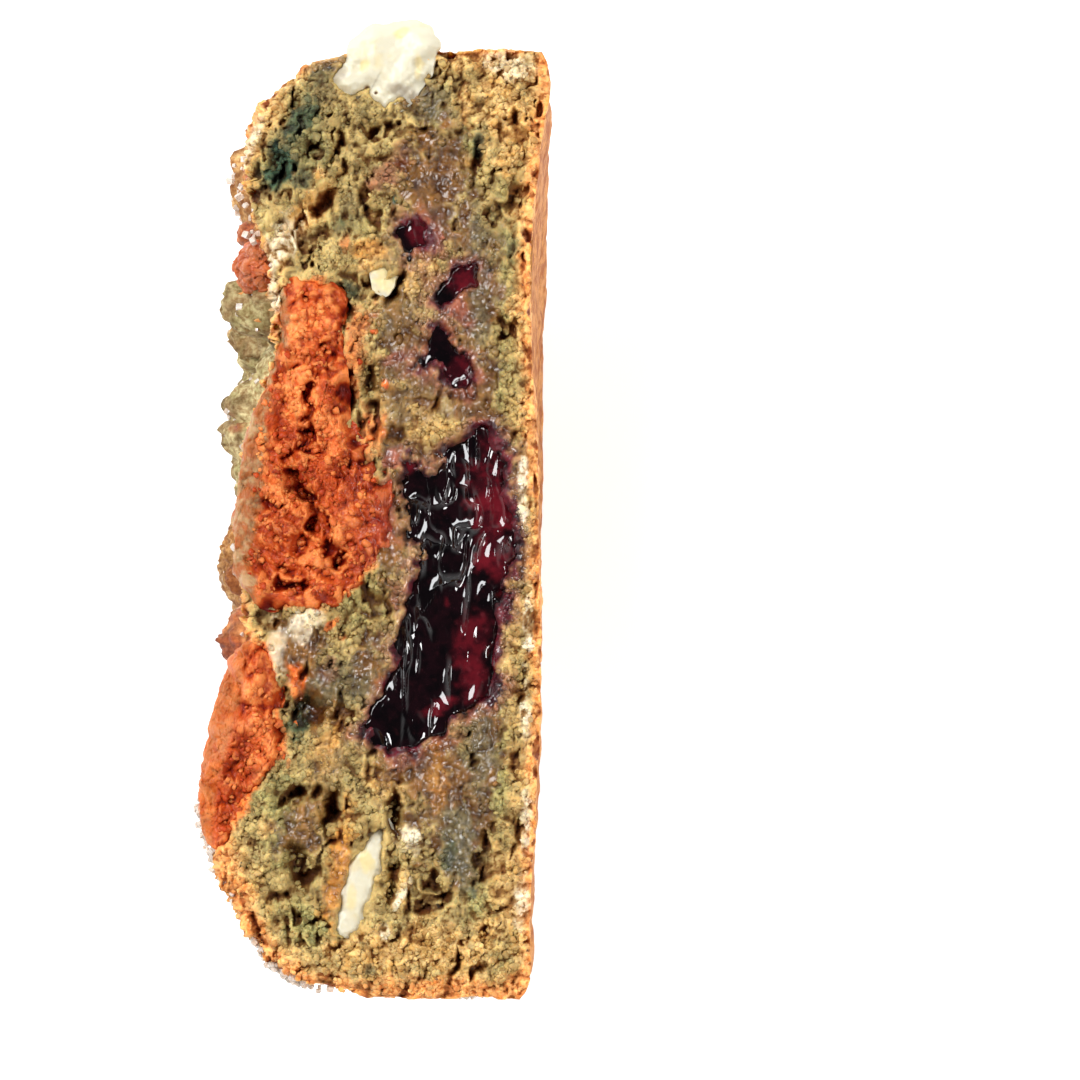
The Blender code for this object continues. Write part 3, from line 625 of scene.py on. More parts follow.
def connect(tree, inputs, **wires):
    """Links wires to the shader's sockets of those names."""
    for socket, wire in wires.items():
        tree.tree.links.new(wire.socket, inputs[socket.replace("_", " ")])


WHITE = shade(255, 255, 255)
print("white is", WHITE)

# %% [markdown]
# ## Crumb finish
#
# Crumb is matt and lets light in a little. Its colour goes from mask to mask: olive crumb first, then
# gold, wet brown, berry teal and rose, orange, pale glaze, and toast at the very edge. Shade is painted
# into it: deep pores go darker and warmer, since light that reaches them has met the crumb before, and
# grains go darker in their hollows and lighter on their crowns. Where it is wet a clear coat and a low
# roughness give small glints.

# %% The crumb's material
CRUMB_TINTS = {
    "olive": (shade(134, 112, 66), shade(180, 156, 100)),
    "leaf": (shade(112, 106, 60), shade(172, 162, 104)),
    "gold": (shade(176, 132, 69), shade(216, 178, 116)),
    "wet": (shade(80, 48, 18), shade(124, 84, 38)),
    "grey": (shade(76, 68, 44), shade(118, 106, 74)),
    "amber": (shade(154, 98, 34), shade(200, 142, 66)),
    "teal": (shade(22, 40, 32), shade(64, 84, 60)),
    "orange": (shade(190, 84, 30), shade(228, 124, 56)),
    "rose": (shade(100, 44, 38), shade(146, 82, 64)),
    "wine": (shade(40, 6, 14), shade(88, 18, 30)),
    "toast": (shade(206, 124, 58), shade(238, 176, 108)),
    "pale": (shade(220, 200, 162), shade(246, 234, 208)),
}
# What the crowns of the grains are multiplied by: over 1, as they catch more light than their mean.
CROWN_TINT = (1.4, 1.36, 1.3, 1.0)


def crumb_finish():
    """Two tints a mask, mixed by noise and laid over each other in the table's order, then painted shade
    and highlight.
    """
    made, tree, inputs = finish(
        "crumb", Subsurface_Weight=0.3, Subsurface_Radius=(1.0, 0.55, 0.25), Subsurface_Scale=0.0012,
        Coat_Roughness=0.12, Specular_IOR_Level=0.35,
    )
    blotch = tree.noise(1.6, 4.0).step(0.34, 0.66)
    colour = tree.mix(blotch, *CRUMB_TINTS["olive"])
    mottles = [tree.noise(size, 3.0, shift=0.01 * size).step(0.34, 0.66) for size in (0.7, 1.1, 1.7)]
    for k, (name, (dark, light)) in enumerate(list(CRUMB_TINTS.items())[1:]):
        colour = tree.mix(tree.mask(name), colour, tree.mix(mottles[k % 3], dark, light))
    # Painted shade in the hollows of grains and painted highlight on their crowns, from the height; loose
    # crumbs are set paler and darker at random.
    tone_and_shading = tree.mask("tone_and_shading")
    shadow = tree.mix(tone_and_shading.step(0.0, 0.62), shade(206, 180, 138), WHITE)
    colour = tree.mix(1.0, colour, shadow, "MULTIPLY")
    colour = tree.tinted(tone_and_shading.step(0.6, 1.0), colour, CROWN_TINT)
    # Painted shade: pores darker and warmer.
    colour = tree.tinted(tree.mask("pore_shade"), colour, shade(176, 130, 80))
    dots = tree.noise(0.9, 1.0, shift=0.3).step(0.74, 0.78)
    colour = tree.mix(dots * 0.7, colour, shade(52, 46, 42))
    fine = tree.noise(0.16, 3.0, 0.65)
    grain = tree.noise(0.4, 4.0, 0.65)
    normal = tree.bump(fine, 0.06, 0.6, tree.bump(grain, 0.14, 0.6))
    rough = 0.74 - 0.52 * tree.mask("wet") - 0.08 * grain
    connect(tree, inputs, Base_Color=colour, Roughness=rough, Coat_Weight=tree.mask("gloss"), Normal=normal)
    return made


crumb_material = crumb_finish()
print("crumb material:", len(crumb_material.node_tree.nodes), "nodes")

# %% [markdown]
# ## The torn crumb of the cut
#
# A knife tears crumb more than it slices it. The cut is a grid of points every seventh of a millimetre,
# and its height is a sum: the broad swells, crags and hollows of the frame's own solid, then clumps of
# 2.8 to 1.3 mm, grains of 1.1 to 0.34 mm that stand at different heights with cracks between them, and
# pores. Where the crumb is wet, soft lumps take the place of the grains. Where a filling lies the crumb
# dips under it.

# %% Height of the cut
# Hollows as (x, y, half width, half length, turn in degrees, depth).
HOLLOWS = [
    (-3.0, 11.8, 1.0, 1.6, 0, 2.6), (-7.1, -19.9, 1.8, 2.2, 20, 2.6), (-4.4, -29.6, 0.8, 2.0, -12, 2.2),
    (1.9, -29.8, 0.7, 2.2, 0, 2.8), (-7.6, -35.8, 1.2, 2.4, 15, 2.8), (-9.8, 35.0, 1.2, 1.8, -20, 2.2),
    (-5.1, 31.3, 0.7, 2.0, -35, 2.2), (-3.2, 21.0, 1.1, 2.2, 0, 2.2), (5.8, -37.0, 0.8, 1.6, 40, 1.8),
    (10.3, 35.4, 0.6, 1.8, 0, 1.8), (1.6, -36.6, 0.6, 2.4, -5, 2.2), (-6.0, 21.5, 0.8, 1.4, 0, 1.6),
    (2.0, 23.0, 0.6, 1.8, -25, 1.8), (-0.6, 13.0, 1.0, 1.8, 0, 1.8), (-3.8, 37.2, 0.4, 2.6, -20, 1.6),
    (-8.2, 41.0, 0.6, 1.6, -40, 1.4), (0.2, 32.0, 1.2, 0.5, -15, 1.0), (8.2, -44.6, 1.0, 0.5, 0, 1.2),
    (11.0, -42.0, 0.7, 0.8, 0, 1.2), (-8.0, -28.0, 1.0, 1.4, 0, 1.4), (2.0, 7.8, 0.9, 0.9, 0, 0.9),
]
# The broad relief that the solid has too: slow swells and crags.
SWELL_HEIGHT = 0.5
SWELL_SIZE = 13.0
CRAG_HEIGHT = 0.9
CRAG_SIZE = 5.0
# How far the crumb dips under a filling, and how far below CUT_HEIGHT it may reach at all.
POCKET_DIP = 3.4
LOWEST = 4.4
# The mean of the fine relief, taken off so that the cut lies about at CUT_HEIGHT.
GRAIN_MEAN = 0.75
SEED = 11
# Sizes of grain as (millimetres, height, seed).
GRAIN_SIZES = ((1.1, 0.38, 111), (0.55, 0.28, 121), (0.34, 0.20, 131))


def billow(points, size, seed):
    """Rounded bumps of no fixed shape with creases between them: the size of a warped swell, 0 to 1."""
    return np.abs(swell(warp(points, size * 0.8, size * 0.4, seed + 1), size, seed))


def crumb_stack(flat):
    """Clumps from a swell and billows, and on them grains of three sizes that lean, step and part."""
    total = 0.55 * swell(warp(flat, 2.0, 0.8, 171), 2.8, 172)
    total += billow(flat, 2.6, 181) + 0.7 * billow(flat, 1.3, 185)
    for size, tall, seed in GRAIN_SIZES:
        bent = warp(warp(flat, size * 0.9, size * 0.45, seed + 40), size * 0.4, size * 0.25, seed + 50)
        ball, chance, gap, tilt = nuggets(bent, size, seed)
        total += tall * (0.55 * chance + 0.5 * tilt + 0.2 * smooth(gap * 2.4) + 0.35 * ball)
    return total - 0.22


def crumb_pores(flat):
    """Depth of holes: narrow pits of two sizes along the muffin, most where a broad field is high."""
    torn = smooth((swell(warp(flat, 2.2, 0.9, 141), 3.2, 142) + 0.12) / 0.45)
    long = flat * (1.0, 0.62)
    wide = smooth((swell(warp(long, 0.9, 0.5, 145), 1.25, 146) - 0.16) / 0.22)
    fine = smooth((swell(warp(long, 0.5, 0.3, 155), 0.62, 156) - 0.28) / 0.22)
    return 1.15 * torn * wide + (0.25 + 0.45 * torn) * fine


def cut_height(x, y, masks):
    """Heights, and the fine relief in them: the solid's broad relief, crumb and pores, less the pockets."""
    flat = on_cut(x, y)
    ball = nuggets(np.stack([x, y, np.zeros_like(x)], axis=1), CRAG_SIZE, SEED + 3)[0]
    broad = SWELL_HEIGHT * swell(flat, SWELL_SIZE, SEED) + CRAG_HEIGHT * (ball - 0.6)
    bent = warp(flat, 1.2, 0.35, 161)
    for *ellipse, depth in HOLLOWS:
        u, v = in_ellipse(*bent.T, *ellipse)
        broad = broad - depth * np.exp(-((u * u + v * v) ** 1.5))
    edge = edge_inside(x, y)
    broad = broad * np.clip(edge / 2.5, 0.15, 1) - 0.5 * np.exp(-np.maximum(edge, 0) / 1.2)
    wet = masks["wet"]
    lumps = 0.30 * billow(flat, 1.0, 138) + 0.22 * billow(flat, 0.5, 136) + 0.10 * swell(flat, 0.3, 134)
    moist = 0.55 + 0.35 * billow(flat * (1.0, 0.55), 2.0, 132) + 0.4 * swell(flat, 2.2, 139) + lumps
    fine = (1 - 0.9 * wet) * crumb_stack(flat) + 0.9 * wet * moist - (1 - 0.8 * wet) * crumb_pores(flat)
    dip = np.zeros(len(x))
    wander = ragged_edge(x, y)
    for filling, loop in FILLING_EDGES.items():
        share = 0.5 if "berry" in filling or "bit" in filling else 1.0
        dip = np.maximum(dip, share * smooth((0.5 - outside(x, y, loop, 48) - wander) / 2.2))
    z = CUT_HEIGHT - GRAIN_MEAN + broad + fine - POCKET_DIP * dip
    return np.maximum(z, CUT_HEIGHT - LOWEST), fine


def surface_masks(x, y):
    """The zones, and plain values for painted shade and highlight, which only the cut's own grid works out.
    """
    masks = crumb_zones(x, y)
    masks["pore_shade"] = np.zeros(len(x))
    masks["tone_and_shading"] = np.full(len(x), 0.6)
    return masks


spot = (np.array([8.0]), np.array([15.0]))
print("height at one place of the cut:", np.round(cut_height(*spot, crumb_zones(*spot))[0], 2))

# %% [markdown]
# ## Crust relief
#
# Outside, the muffin is a turned body with a crust. The dome is cobbled with baked lumps, the rim less
# so, and the base is flat with fine ripples. How far a point stands out is again a sum of fields, and
# it is used twice: for the band of crust that belongs to the cut, and for the shell below it.

# %% How far the crust stands out
# The dome's relief fades in left of DOME_X, the base's flatness right of BASE_X. Cobbles are this wide.
DOME_X = 2.0
BASE_X = 12.0
COBBLE_SIZE = 10.5
# Lumps on the dome near the cut: (y, drop below the cut, reach along y, reach in depth, height).
DOME_LUMPS = [
    (21.2, 7.6, 3.8, 5.0, 3.6), (5.4, 14.5, 9.0, 6.0, 4.8), (14.0, 12.0, 5.0, 5.0, 1.4),
    (-6.0, 12.5, 3.4, 3.6, 4.4), (-12.0, 9.0, 3.4, 4.0, 2.2), (34.0, 15.0, 6.0, 6.0, 1.6),
    (-31.0, 24.0, 7.0, 7.0, 2.0), (-6.0, 30.0, 8.0, 7.0, 2.4), (17.0, 28.0, 7.0, 6.0, 2.2),
]


def grit_at(points, size, seed):
    """Relief of one size of crumb: each stands at a height of its own, leans, and parts from the next."""
    chance, gap, tilt = nuggets(warp(points, *size[1:], seed), size[0], seed + 1)[1:]
    return 0.7 * chance + 0.6 * tilt + 0.4 * np.sqrt(np.clip(gap * 2.4, 0, 1)) - 0.5


def crag_cells(points):
    """The nuggets of 4.2 mm that the crust's crags and the painted shade in its cracks share."""
    return nuggets(warp(points, 3.0, 1.4, 201), 4.2, 202)


def stand_out(points):
    """Millimetres outwards: cobbles of 10.5, 4.2, 1.7 and 0.8 mm, named lumps, and the base's ripples."""
    x, y, z = points.T
    drop = CUT_HEIGHT - z
    radius = np.hypot(y - AXIS_Y, drop)
    leftward = np.clip((DOME_X - x) / 10.0, 0, 1)
    dome = leftward * np.clip((MUFFIN_RADIUS - radius) / 8.0, 0, 1)
    base = np.clip((x - BASE_X) / 3.0, 0, 1)
    rest = np.clip(z / 6.0, 0, 1)
    ball = nuggets(points, COBBLE_SIZE, SEED + 7)[0] - 0.45
    broad = ball * (2.8 * dome + 1.3 * (1 - dome) * (1 - base))
    broad = broad + 0.35 * base * swell(points, 4.0, SEED + 9)
    for ly, ldrop, reach_y, reach_z, tall in DOME_LUMPS:
        far = ((y - ly) / reach_y) ** 2 + ((drop - ldrop) / reach_z) ** 2
        broad = broad + tall * dome * np.clip(1 - far, 0, 1) ** 0.6
    broad = broad * np.clip(drop / 3.0, 0.3, 1)
    craggy = 0.55 + 0.45 * leftward
    ball, chance, gap = crag_cells(points)[:3]
    crags = (0.3 + 0.7 * chance) * (0.5 * np.sqrt(np.clip(gap * 2, 0, 1)) + 0.5 * ball)
    crumbly = dome * (0.6 + 0.4 * smooth((12.0 - drop) / 6.0))
    fine = 1.5 * (crags - 0.55) * craggy * np.clip(drop / 2.0, 0.5, 1)
    fine = fine + (0.55 + 0.5 * crumbly) * grit_at(points, (1.7, 1.2, 0.6), 211) * craggy
    fine = fine + 0.5 * crumbly * grit_at(points, (0.8, 0.6, 0.3), 215)
    fine = fine * (1 - 0.85 * base * np.clip(drop / 8.0, 0.45, 1)) + 0.10 * base * swell(points, 1.0, 221)
    return (broad + fine) * rest


def ribs_at(turn, y, across):
    """The turned body at a turn below the cut: y shrinks by its cosine, and drop grows by its sine."""
    along = AXIS_Y + (y - AXIS_Y) * math.cos(turn)
    drop = np.full(len(y), MUFFIN_RADIUS * math.sin(turn))
    left, right = side_x(DOME_LINE, along, drop), side_x(BASE_LINE, along, drop)
    return np.stack([left + across * (right - left), along, CUT_HEIGHT - drop], axis=1)


def outward(shell):
    """Unit normals of a stack of closed rings: the cross product of the steps round and down it."""
    round_it = np.roll(shell, -1, axis=1) - np.roll(shell, 1, axis=1)
    down = np.gradient(shell, axis=0)
    normal = np.cross(down, round_it)
    return normal / np.maximum(np.linalg.norm(normal, axis=2, keepdims=True), 1e-9)


print("dome lumps:", len(DOME_LUMPS))

# %% Build the cut crumb
# The cut is one grid, parted at SEAM_ROW into two pieces. A band of crust goes down from its edge.
CUT_ROWS = 656
CUT_COLUMNS = 235
SEAM_ROW = 340
BAND_RINGS = 16
BAND_DEPTH = 6.0
# Drops below the cut: where the shell starts, and where band and shell cross, each set in by TUCK
# on the side where the other covers it.
SHELL_START = 2.0
CROSSING = 3.1
TUCK = 0.45
# How far in from its edge the grid follows the crust's relief.
PULL_REACH = 1.6
# Both halves reach a row past the seam, and there each dips under the other.
SEAM_DIP = 0.15
# Cells each way over which a height is compared with its surroundings: single grains, then clumps.
SHADE_REACH = (5, 16)


def loop_of(rows, columns):
    """Grid indices round the cut: first row, up the base side, last row backwards, down the dome side."""
    wide = columns + 1
    return np.concatenate([
        np.arange(columns), np.arange(rows) * wide + columns,
        rows * wide + np.arange(columns, 0, -1), np.arange(rows, 0, -1) * wide,
    ])


def blurred(height, reach):
    """The mean of a grid over a square of that many cells each way, from running sums."""
    for axis in (0, 1):
        before = np.repeat(np.take(height, [0], axis), reach + 1, axis)
        after = np.repeat(np.take(height, [-1], axis), reach, axis)
        total = np.cumsum(np.concatenate([before, height, after], axis), axis)
        here, wide = np.arange(height.shape[axis]), 2 * reach + 1
        height = (np.take(total, here + wide, axis) - np.take(total, here, axis)) / wide
    return height


def edge_shell(y, across, turns):
    """Outward normals of the turned body at each turn of a loop, and its points with the crust's relief."""
    shell = np.stack([ribs_at(turn, y, across) for turn in turns])
    normal = outward(shell)
    move = normal * stand_out(shell.reshape(-1, 3)).reshape(shell.shape[:2])[:, :, None]
    return normal, shell + move


def plan_cut():
    """The grid from above: rows along Y, columns across, its outer cells moved with the crust's relief."""
    t = np.linspace(-1, 1, CUT_ROWS + 1)
    rows = AXIS_Y + MUFFIN_RADIUS * (0.6 * t + 0.4 * np.sin(t * math.pi / 2))
    y = np.repeat(rows, CUT_COLUMNS + 1)
    across = np.tile(np.linspace(0, 1, CUT_COLUMNS + 1), CUT_ROWS + 1)
    plan = ribs_at(0.0, y, across)
    loop = loop_of(CUT_ROWS, CUT_COLUMNS)
    turns = np.arcsin(np.array([0.0, BAND_DEPTH / BAND_RINGS]) / MUFFIN_RADIUS)
    edge_move = np.zeros_like(plan)
    edge_move[loop] = edge_shell(y[loop], across[loop], turns)[1][0] - plan[loop]
    edge_move = edge_move.reshape(CUT_ROWS + 1, CUT_COLUMNS + 1, 3)
    flat = plan.reshape(edge_move.shape)
    x, y_grid = flat[:, :, 0], flat[:, :, 1]
    pull = [
        (edge_move[:, :1], x - x[:, :1]), (edge_move[:, -1:], x[:, -1:] - x),
        (edge_move[:1], y_grid - y_grid[:1]), (edge_move[-1:], y_grid[-1:] - y_grid),
    ]
    moved = flat.copy()
    moved[:, :, :2] += sum(m * np.exp(-((far / PULL_REACH) ** 2))[:, :, None] for m, far in pull)[:, :, :2]
    moved.reshape(-1, 3)[loop] = (flat + edge_move).reshape(-1, 3)[loop]
    return y, across, moved[:, :, 0].ravel(), moved[:, :, 1].ravel()


def shade_masks(masks, z):
    """Painted shade in pores, under the mean round each point; on single grains, painted shade and
    highlight.
    """
    grid = z.reshape(CUT_ROWS + 1, CUT_COLUMNS + 1)
    near, wide = (blurred(grid, reach) for reach in SHADE_REACH)
    # Painted shade in pores: how far a point lies under the mean of its surroundings.
    masks["pore_shade"] = np.clip((near - grid) / 0.9 + np.clip((wide - grid - 0.3) / 1.9, 0, 1), 0, 1).ravel()
    # Painted shade in the hollows of single grains and painted highlight on their crowns.
    masks["tone_and_shading"] = np.clip(0.55 + (grid - near) / 0.7 + (grid - wide) / 2.4, 0, 1).ravel()
    return masks


def build_half(name, first_row, last_row, whole, replaced):
    """Some rows of the whole grid as one piece, with a band of crust round them and a lid below."""
    y, across, x_moved, y_moved, z, masks = whole
    wide = CUT_COLUMNS + 1
    part = slice(first_row * wide, (last_row + 1) * wide)
    rows = last_row - first_row
    loop = loop_of(rows, CUT_COLUMNS)
    y, across = y[part][loop], across[part][loop]
    top = np.stack([x_moved[part], y_moved[part], z[part]], axis=1)
    seam = 0 if first_row else rows
    top.reshape(rows + 1, wide, 3)[seam, :, 2] -= SEAM_DIP
    turns = np.arcsin(np.linspace(0, BAND_DEPTH, BAND_RINGS + 1) / MUFFIN_RADIUS)
    normal, shell = edge_shell(y, across, turns)
    inner = (loop // wide == seam) & (across > 0) & (across < 1)
    shell[:, inner, :2] = top[loop][inner, :2]
    band, normal = shell[1:], normal[1:]
    depth = np.linspace(0, 1, BAND_RINGS + 1)[1:]
    over = top[loop][:, 2] - CUT_HEIGHT
    band[:, :, 2] += over * (1 - smooth(depth / 0.7))[:, None]
    band -= normal * (TUCK * smooth((depth * BAND_DEPTH - CROSSING + 0.6) / 1.4))[:, None, None]
    count, first = len(loop), len(top)
    below = first + np.arange(count)
    faces = grid_faces(rows, CUT_COLUMNS)
    faces += np.stack([loop, below, np.roll(below, -1), np.roll(loop, -1)], axis=1).tolist()
    faces += ring_faces(first, count, BAND_RINGS)
    faces += cap_faces(first + (BAND_RINGS - 1) * count, CUT_COLUMNS, rows)
    band_masks = surface_masks(band[:, :, 0].ravel(), band[:, :, 1].ravel())
    band_masks["toast"] = np.maximum(band_masks["toast"], np.repeat(smooth(depth * 3), count))
    joined = {mask: np.concatenate([masks[mask][part], band_masks[mask]]) for mask in masks}
    points = np.concatenate([top, band.reshape(-1, 3)])
    add_piece(name, points, faces, crumb_material, replaced, joined)


plan_y, plan_across, cut_x, cut_y = plan_cut()
cut_masks = surface_masks(cut_x, cut_y)
cut_z = cut_height(cut_x, cut_y, cut_masks)[0]
cut_masks = shade_masks(cut_masks, cut_z)
whole_cut = (plan_y, plan_across, cut_x, cut_y, cut_z, cut_masks)
build_half("cut_low", 0, SEAM_ROW + 1, whole_cut, ["crumb"])
build_half("cut_high", SEAM_ROW - 1, CUT_ROWS, whole_cut, ())

# %% [markdown]
# ## The crust finish
#
# The dome has dough lumps of several kinds baked into it, so its colour goes lump by lump: each
# cobble of the relief has its own chance, and that picks golden, pale green or orange dough. Beside
# the cut, listed patches pick it. Shade is painted into the cracks, so they come out darker than the
# crowns. Brown and sugary bloom come in swells, and the base is an even brown with fine speckles.

# %% The crust's material and masks
CRUST_TINTS = {
    "golden": (shade(196, 140, 76), shade(232, 190, 126)),
    "leaf": (shade(168, 156, 104), shade(222, 208, 156)),
    "ember": (shade(184, 91, 38), shade(215, 131, 72)),
    "brown": (shade(146, 84, 38), shade(192, 122, 64)),
    "bottom": (shade(170, 96, 42), shade(216, 150, 86)),
    "frost": (shade(206, 180, 140), shade(238, 222, 192)),
}
# Patches beside the cut, as (y, drop below the cut, half width, half depth).
CRUST_PATCHES = {
    "leaf": [
        (5.4, 14.5, 9.4, 7.0), (-10.5, 10.0, 3.0, 3.4), (21.0, 8.0, 5.0, 7.0), (14.0, 20.0, 6.5, 22.0),
        (3.0, 3.0, 10.0, 7.0),
    ],
    "ember": [(-23.0, 8.0, 12.0, 13.0), (17.0, 36.0, 6.0, 5.0)],
    "brown": [(-6.0, 12.5, 3.2, 3.6)],
    "frost": [(24.0, 1.0, 5.0, 1.6), (-31.5, 2.0, 4.0, 2.4), (-44.0, 3.0, 5.0, 2.4)],
}


def crust_masks(points):
    """Masks of the crust: each cobble's chance picks its dough, and shade is painted into its cracks."""
    x, y, z = points.T
    drop = CUT_HEIGHT - z
    wobble = swells(points, (0.3, 3.0, 301), (0.2, 1.1, 302))
    chance = nuggets(warp(points, 6.0, 2.0, 303), COBBLE_SIZE, SEED + 7)[1]
    dome = smooth((3.0 - x) / 6.0)
    base = smooth((x + 0.6 * swell(points, 1.2, 304) - 14.2) / 1.2)
    browned = smooth(swells(points, (1.0, 4.0, 305), (0.3, 1.4, 309)) / 0.7)
    bloomed = smooth((swell(points, 4.5, 306) - 0.45) / 0.3)
    masks = {
        "leaf": dome * (chance < 0.3), "ember": dome * (chance > 0.8), "bottom": base,
        "brown": 0.8 * browned * (1 - dome * 0.5), "frost": 0.8 * bloomed * (1 - base),
    }
    for name, patches in CRUST_PATCHES.items():
        here = np.zeros(len(points))
        for py, pdrop, wide, deep in patches:
            far = np.hypot((y - py) / wide, (drop - pdrop) / deep)
            here = np.maximum(here, smooth((1.1 + wobble - far) / 0.3))
        here = here * smooth((4.0 - x) / 4.0)
        for other in ("leaf", "ember", "brown"):
            masks[other] = masks[other] * (1 - here)
        masks[name] = np.maximum(masks[name], here)
    flecks = smooth((swells(points, (1.0, 0.9, 307), (0.5, 0.45, 308)) + 0.2) / 0.6)
    masks["frost"] = masks["frost"] * flecks
    # Painted shade: darker where the crags part, much less so on the base.
    masks["crack"] = (1 - smooth(crag_cells(points)[2] * 3.2)) * (1 - 0.9 * base)
    return masks


def crust_finish():
    """Golden crust with the other doughs laid over it by mask, with painted shade in cracks, and speckled.
    """
    made, tree, inputs = finish("crust", Specular_IOR_Level=0.2, Coat_Roughness=0.2)
    colour = tree.mix(tree.noise(2.2, 4.0).step(0.35, 0.65), *CRUST_TINTS["golden"])
    mottles = [tree.noise(1.6, 3.0, shift=0.02 * k).step(0.35, 0.65) for k in (1, 2)]
    for k, (name, (dark, light)) in enumerate(list(CRUST_TINTS.items())[1:]):
        colour = tree.mix(tree.mask(name), colour, tree.mix(mottles[k % 2], dark, light))
    speck = tree.noise(0.5, 4.0).step(0.3, 0.7)
    colour = tree.mix(0.9 - 0.6 * tree.mask("bottom"), colour,
                      tree.mix(speck, shade(176, 144, 112), WHITE), "MULTIPLY")
    # Painted shade in the cracks of the crust.
    colour = tree.tinted(0.65 * tree.mask("crack"), colour, shade(140, 96, 56))
    grain = tree.noise(0.4, 4.0, 0.65)
    fine = tree.noise(1.1, 4.0, 0.6)
    normal = tree.bump(grain, 0.3, 0.7, tree.bump(fine, 0.5, 0.6))
    connect(tree, inputs, Base_Color=colour, Roughness=0.7 - 0.15 * fine, Normal=normal,
            Coat_Weight=0.35 * tree.mask("ember"))
    return made


crust_material = crust_finish()

# %% [markdown]
# ## The crust shell
#
# Below the cut the muffin is a stack of level rings. Each ring is a section of the turned body, pushed
# out by the relief. The shell starts a little under the cut, tucked inside the band that the cut
# brings down, and the two surfaces cross where neither has moved far, so no seam shows.

# %% Build the shell
# Points of each ring on its dome side, base side and either end, then rings and the lip's thickness.
DOME_ROWS = 300
BASE_ROWS = 150
END_COLUMNS = 36
SHELL_RINGS = 187
WALL = 1.3


def shell_loop():
    """The loop's y and shares across: low end, up the base side, high end, down the dome side."""
    low_y, high_y = AXIS_Y - MUFFIN_RADIUS, AXIS_Y + MUFFIN_RADIUS
    ends = np.linspace(0, 1, END_COLUMNS, endpoint=False)
    up = np.linspace(low_y, high_y, BASE_ROWS, endpoint=False)
    down = np.linspace(high_y, low_y, DOME_ROWS, endpoint=False)
    y = np.concatenate([np.full(END_COLUMNS, low_y), up, np.full(END_COLUMNS, high_y), down])
    return y, np.concatenate([ends, np.ones(BASE_ROWS), 1 - ends, np.zeros(DOME_ROWS)])


def build_shell():
    """Level rings from SHELL_START down to the rest spot, an inner lip above, and a lid at each end."""
    y, across = shell_loop()
    first_turn = math.asin(SHELL_START / MUFFIN_RADIUS)
    last_turn = math.asin(CUT_HEIGHT / MUFFIN_RADIUS)
    turns = first_turn + (last_turn - first_turn) * np.linspace(0, 1, SHELL_RINGS) ** 1.3
    shell = np.stack([ribs_at(turn, y, across) for turn in turns])
    normal = outward(shell)
    out = stand_out(shell.reshape(-1, 3)).reshape(shell.shape[:2])
    drop = CUT_HEIGHT - shell[:, :1, 2]
    out = out - TUCK * smooth((CROSSING + 0.6 - drop) / 1.4)
    placed = shell + normal * out[:, :, None]
    placed[-1, :, 2] = 0.0
    placed[:, :, 2] = np.maximum(placed[:, :, 2], 0.0)
    inner = placed[0] - normal[0] * WALL
    floor_ring = inner - [0, 0, BAND_DEPTH]
    placed = np.concatenate([[floor_ring, inner], placed])
    count = len(y)
    faces = ring_faces(0, count, len(placed))
    faces += [tuple(range(count)), tuple(range((len(placed) - 1) * count, len(placed) * count))]
    points = placed.reshape(-1, 3)
    return points, faces, crust_masks(points)


shell_points, shell_faces, shell_masks = build_shell()
add_piece("crust_shell", shell_points, shell_faces, crust_material, (), shell_masks)

# %% [markdown]
# ## Fillings set in the cut
#
# A filling is rings: over its top from the middle to its edge, then down its side in a curve to a
# point. The height of the top comes from a function of its own, so jam folds, dough crumbles and
# chocolate stays smooth. The edge is moved by small swells, and the top rolls under at the edge, so
# the crumb seems to grip it.

# %% Rings of a filling
# How far a filling reaches under the crumb round it.
SPILL = 1.1


def fill_rings(edge, middle, depth, square, top, sides, top_rings, side_rings, spill=SPILL):
    """The rings (ring, side, xyz) of a filling.

    Top: middle + share * (rim - middle), with z from top(x, y, distance inside the edge). The rim is the
    edge moved out by spill where crumb will cover it, and not at all at the muffin's own outline.
    Side: the same with share cos(t) ** square, falling by depth * sin(t).
    """
    rim = closed_edge(edge, sides)
    along = np.roll(rim, -1, axis=0) - np.roll(rim, 1, axis=0)
    out = np.stack([along[:, 1], -along[:, 0]], axis=1)
    out /= np.linalg.norm(out, axis=1, keepdims=True)
    if ((rim - middle) * out).sum() < 0:
        out = -out
    covered = smooth(edge_inside(*rim.T) / 2.0)
    rim = rim + out * (spill * covered + swells(rim, (0.25, 1.4, 401), (0.12, 0.6, 402)))[:, None]
    shares = np.linspace(0.01, 1, top_rings) ** 0.8
    xy = middle + (rim - middle) * shares[:, None, None]
    x, y = xy[:, :, 0].ravel(), xy[:, :, 1].ravel()
    inside = -outside(x, y, edge) - ragged_edge(x, y) * smooth(edge_inside(x, y) / 2.0)
    z = top(x, y, inside).reshape(xy.shape[:2])
    upper = np.concatenate([xy, z[:, :, None]], axis=2)
    turns = np.linspace(0, math.pi / 2, side_rings + 2)[1:-1]
    share = np.cos(turns)[:, None, None] ** square
    lower_xy = middle + (rim - middle) * share
    lower_z = z[-1][None, :] - depth * np.sin(turns)[:, None]
    return np.concatenate([upper, np.concatenate([lower_xy, lower_z[:, :, None]], axis=2)])


def closed_rings(rings):
    """Points and faces of a stack of rings, closed by a fan to a point at each end."""
    count = rings.shape[1]
    first, last = rings[0].mean(axis=0), rings[-1].mean(axis=0)
    points = np.concatenate([rings.reshape(-1, 3), [first, last]])
    total = rings.shape[0] * count
    k = np.arange(count)
    after = (k + 1) % count
    faces = ring_faces(0, count, rings.shape[0])
    low, high = np.full(count, total), np.full(count, total + 1)
    faces += np.stack([low, k, after], axis=1).tolist()
    faces += np.stack([total - count + k, high, total - count + after], axis=1).tolist()
    return points, faces


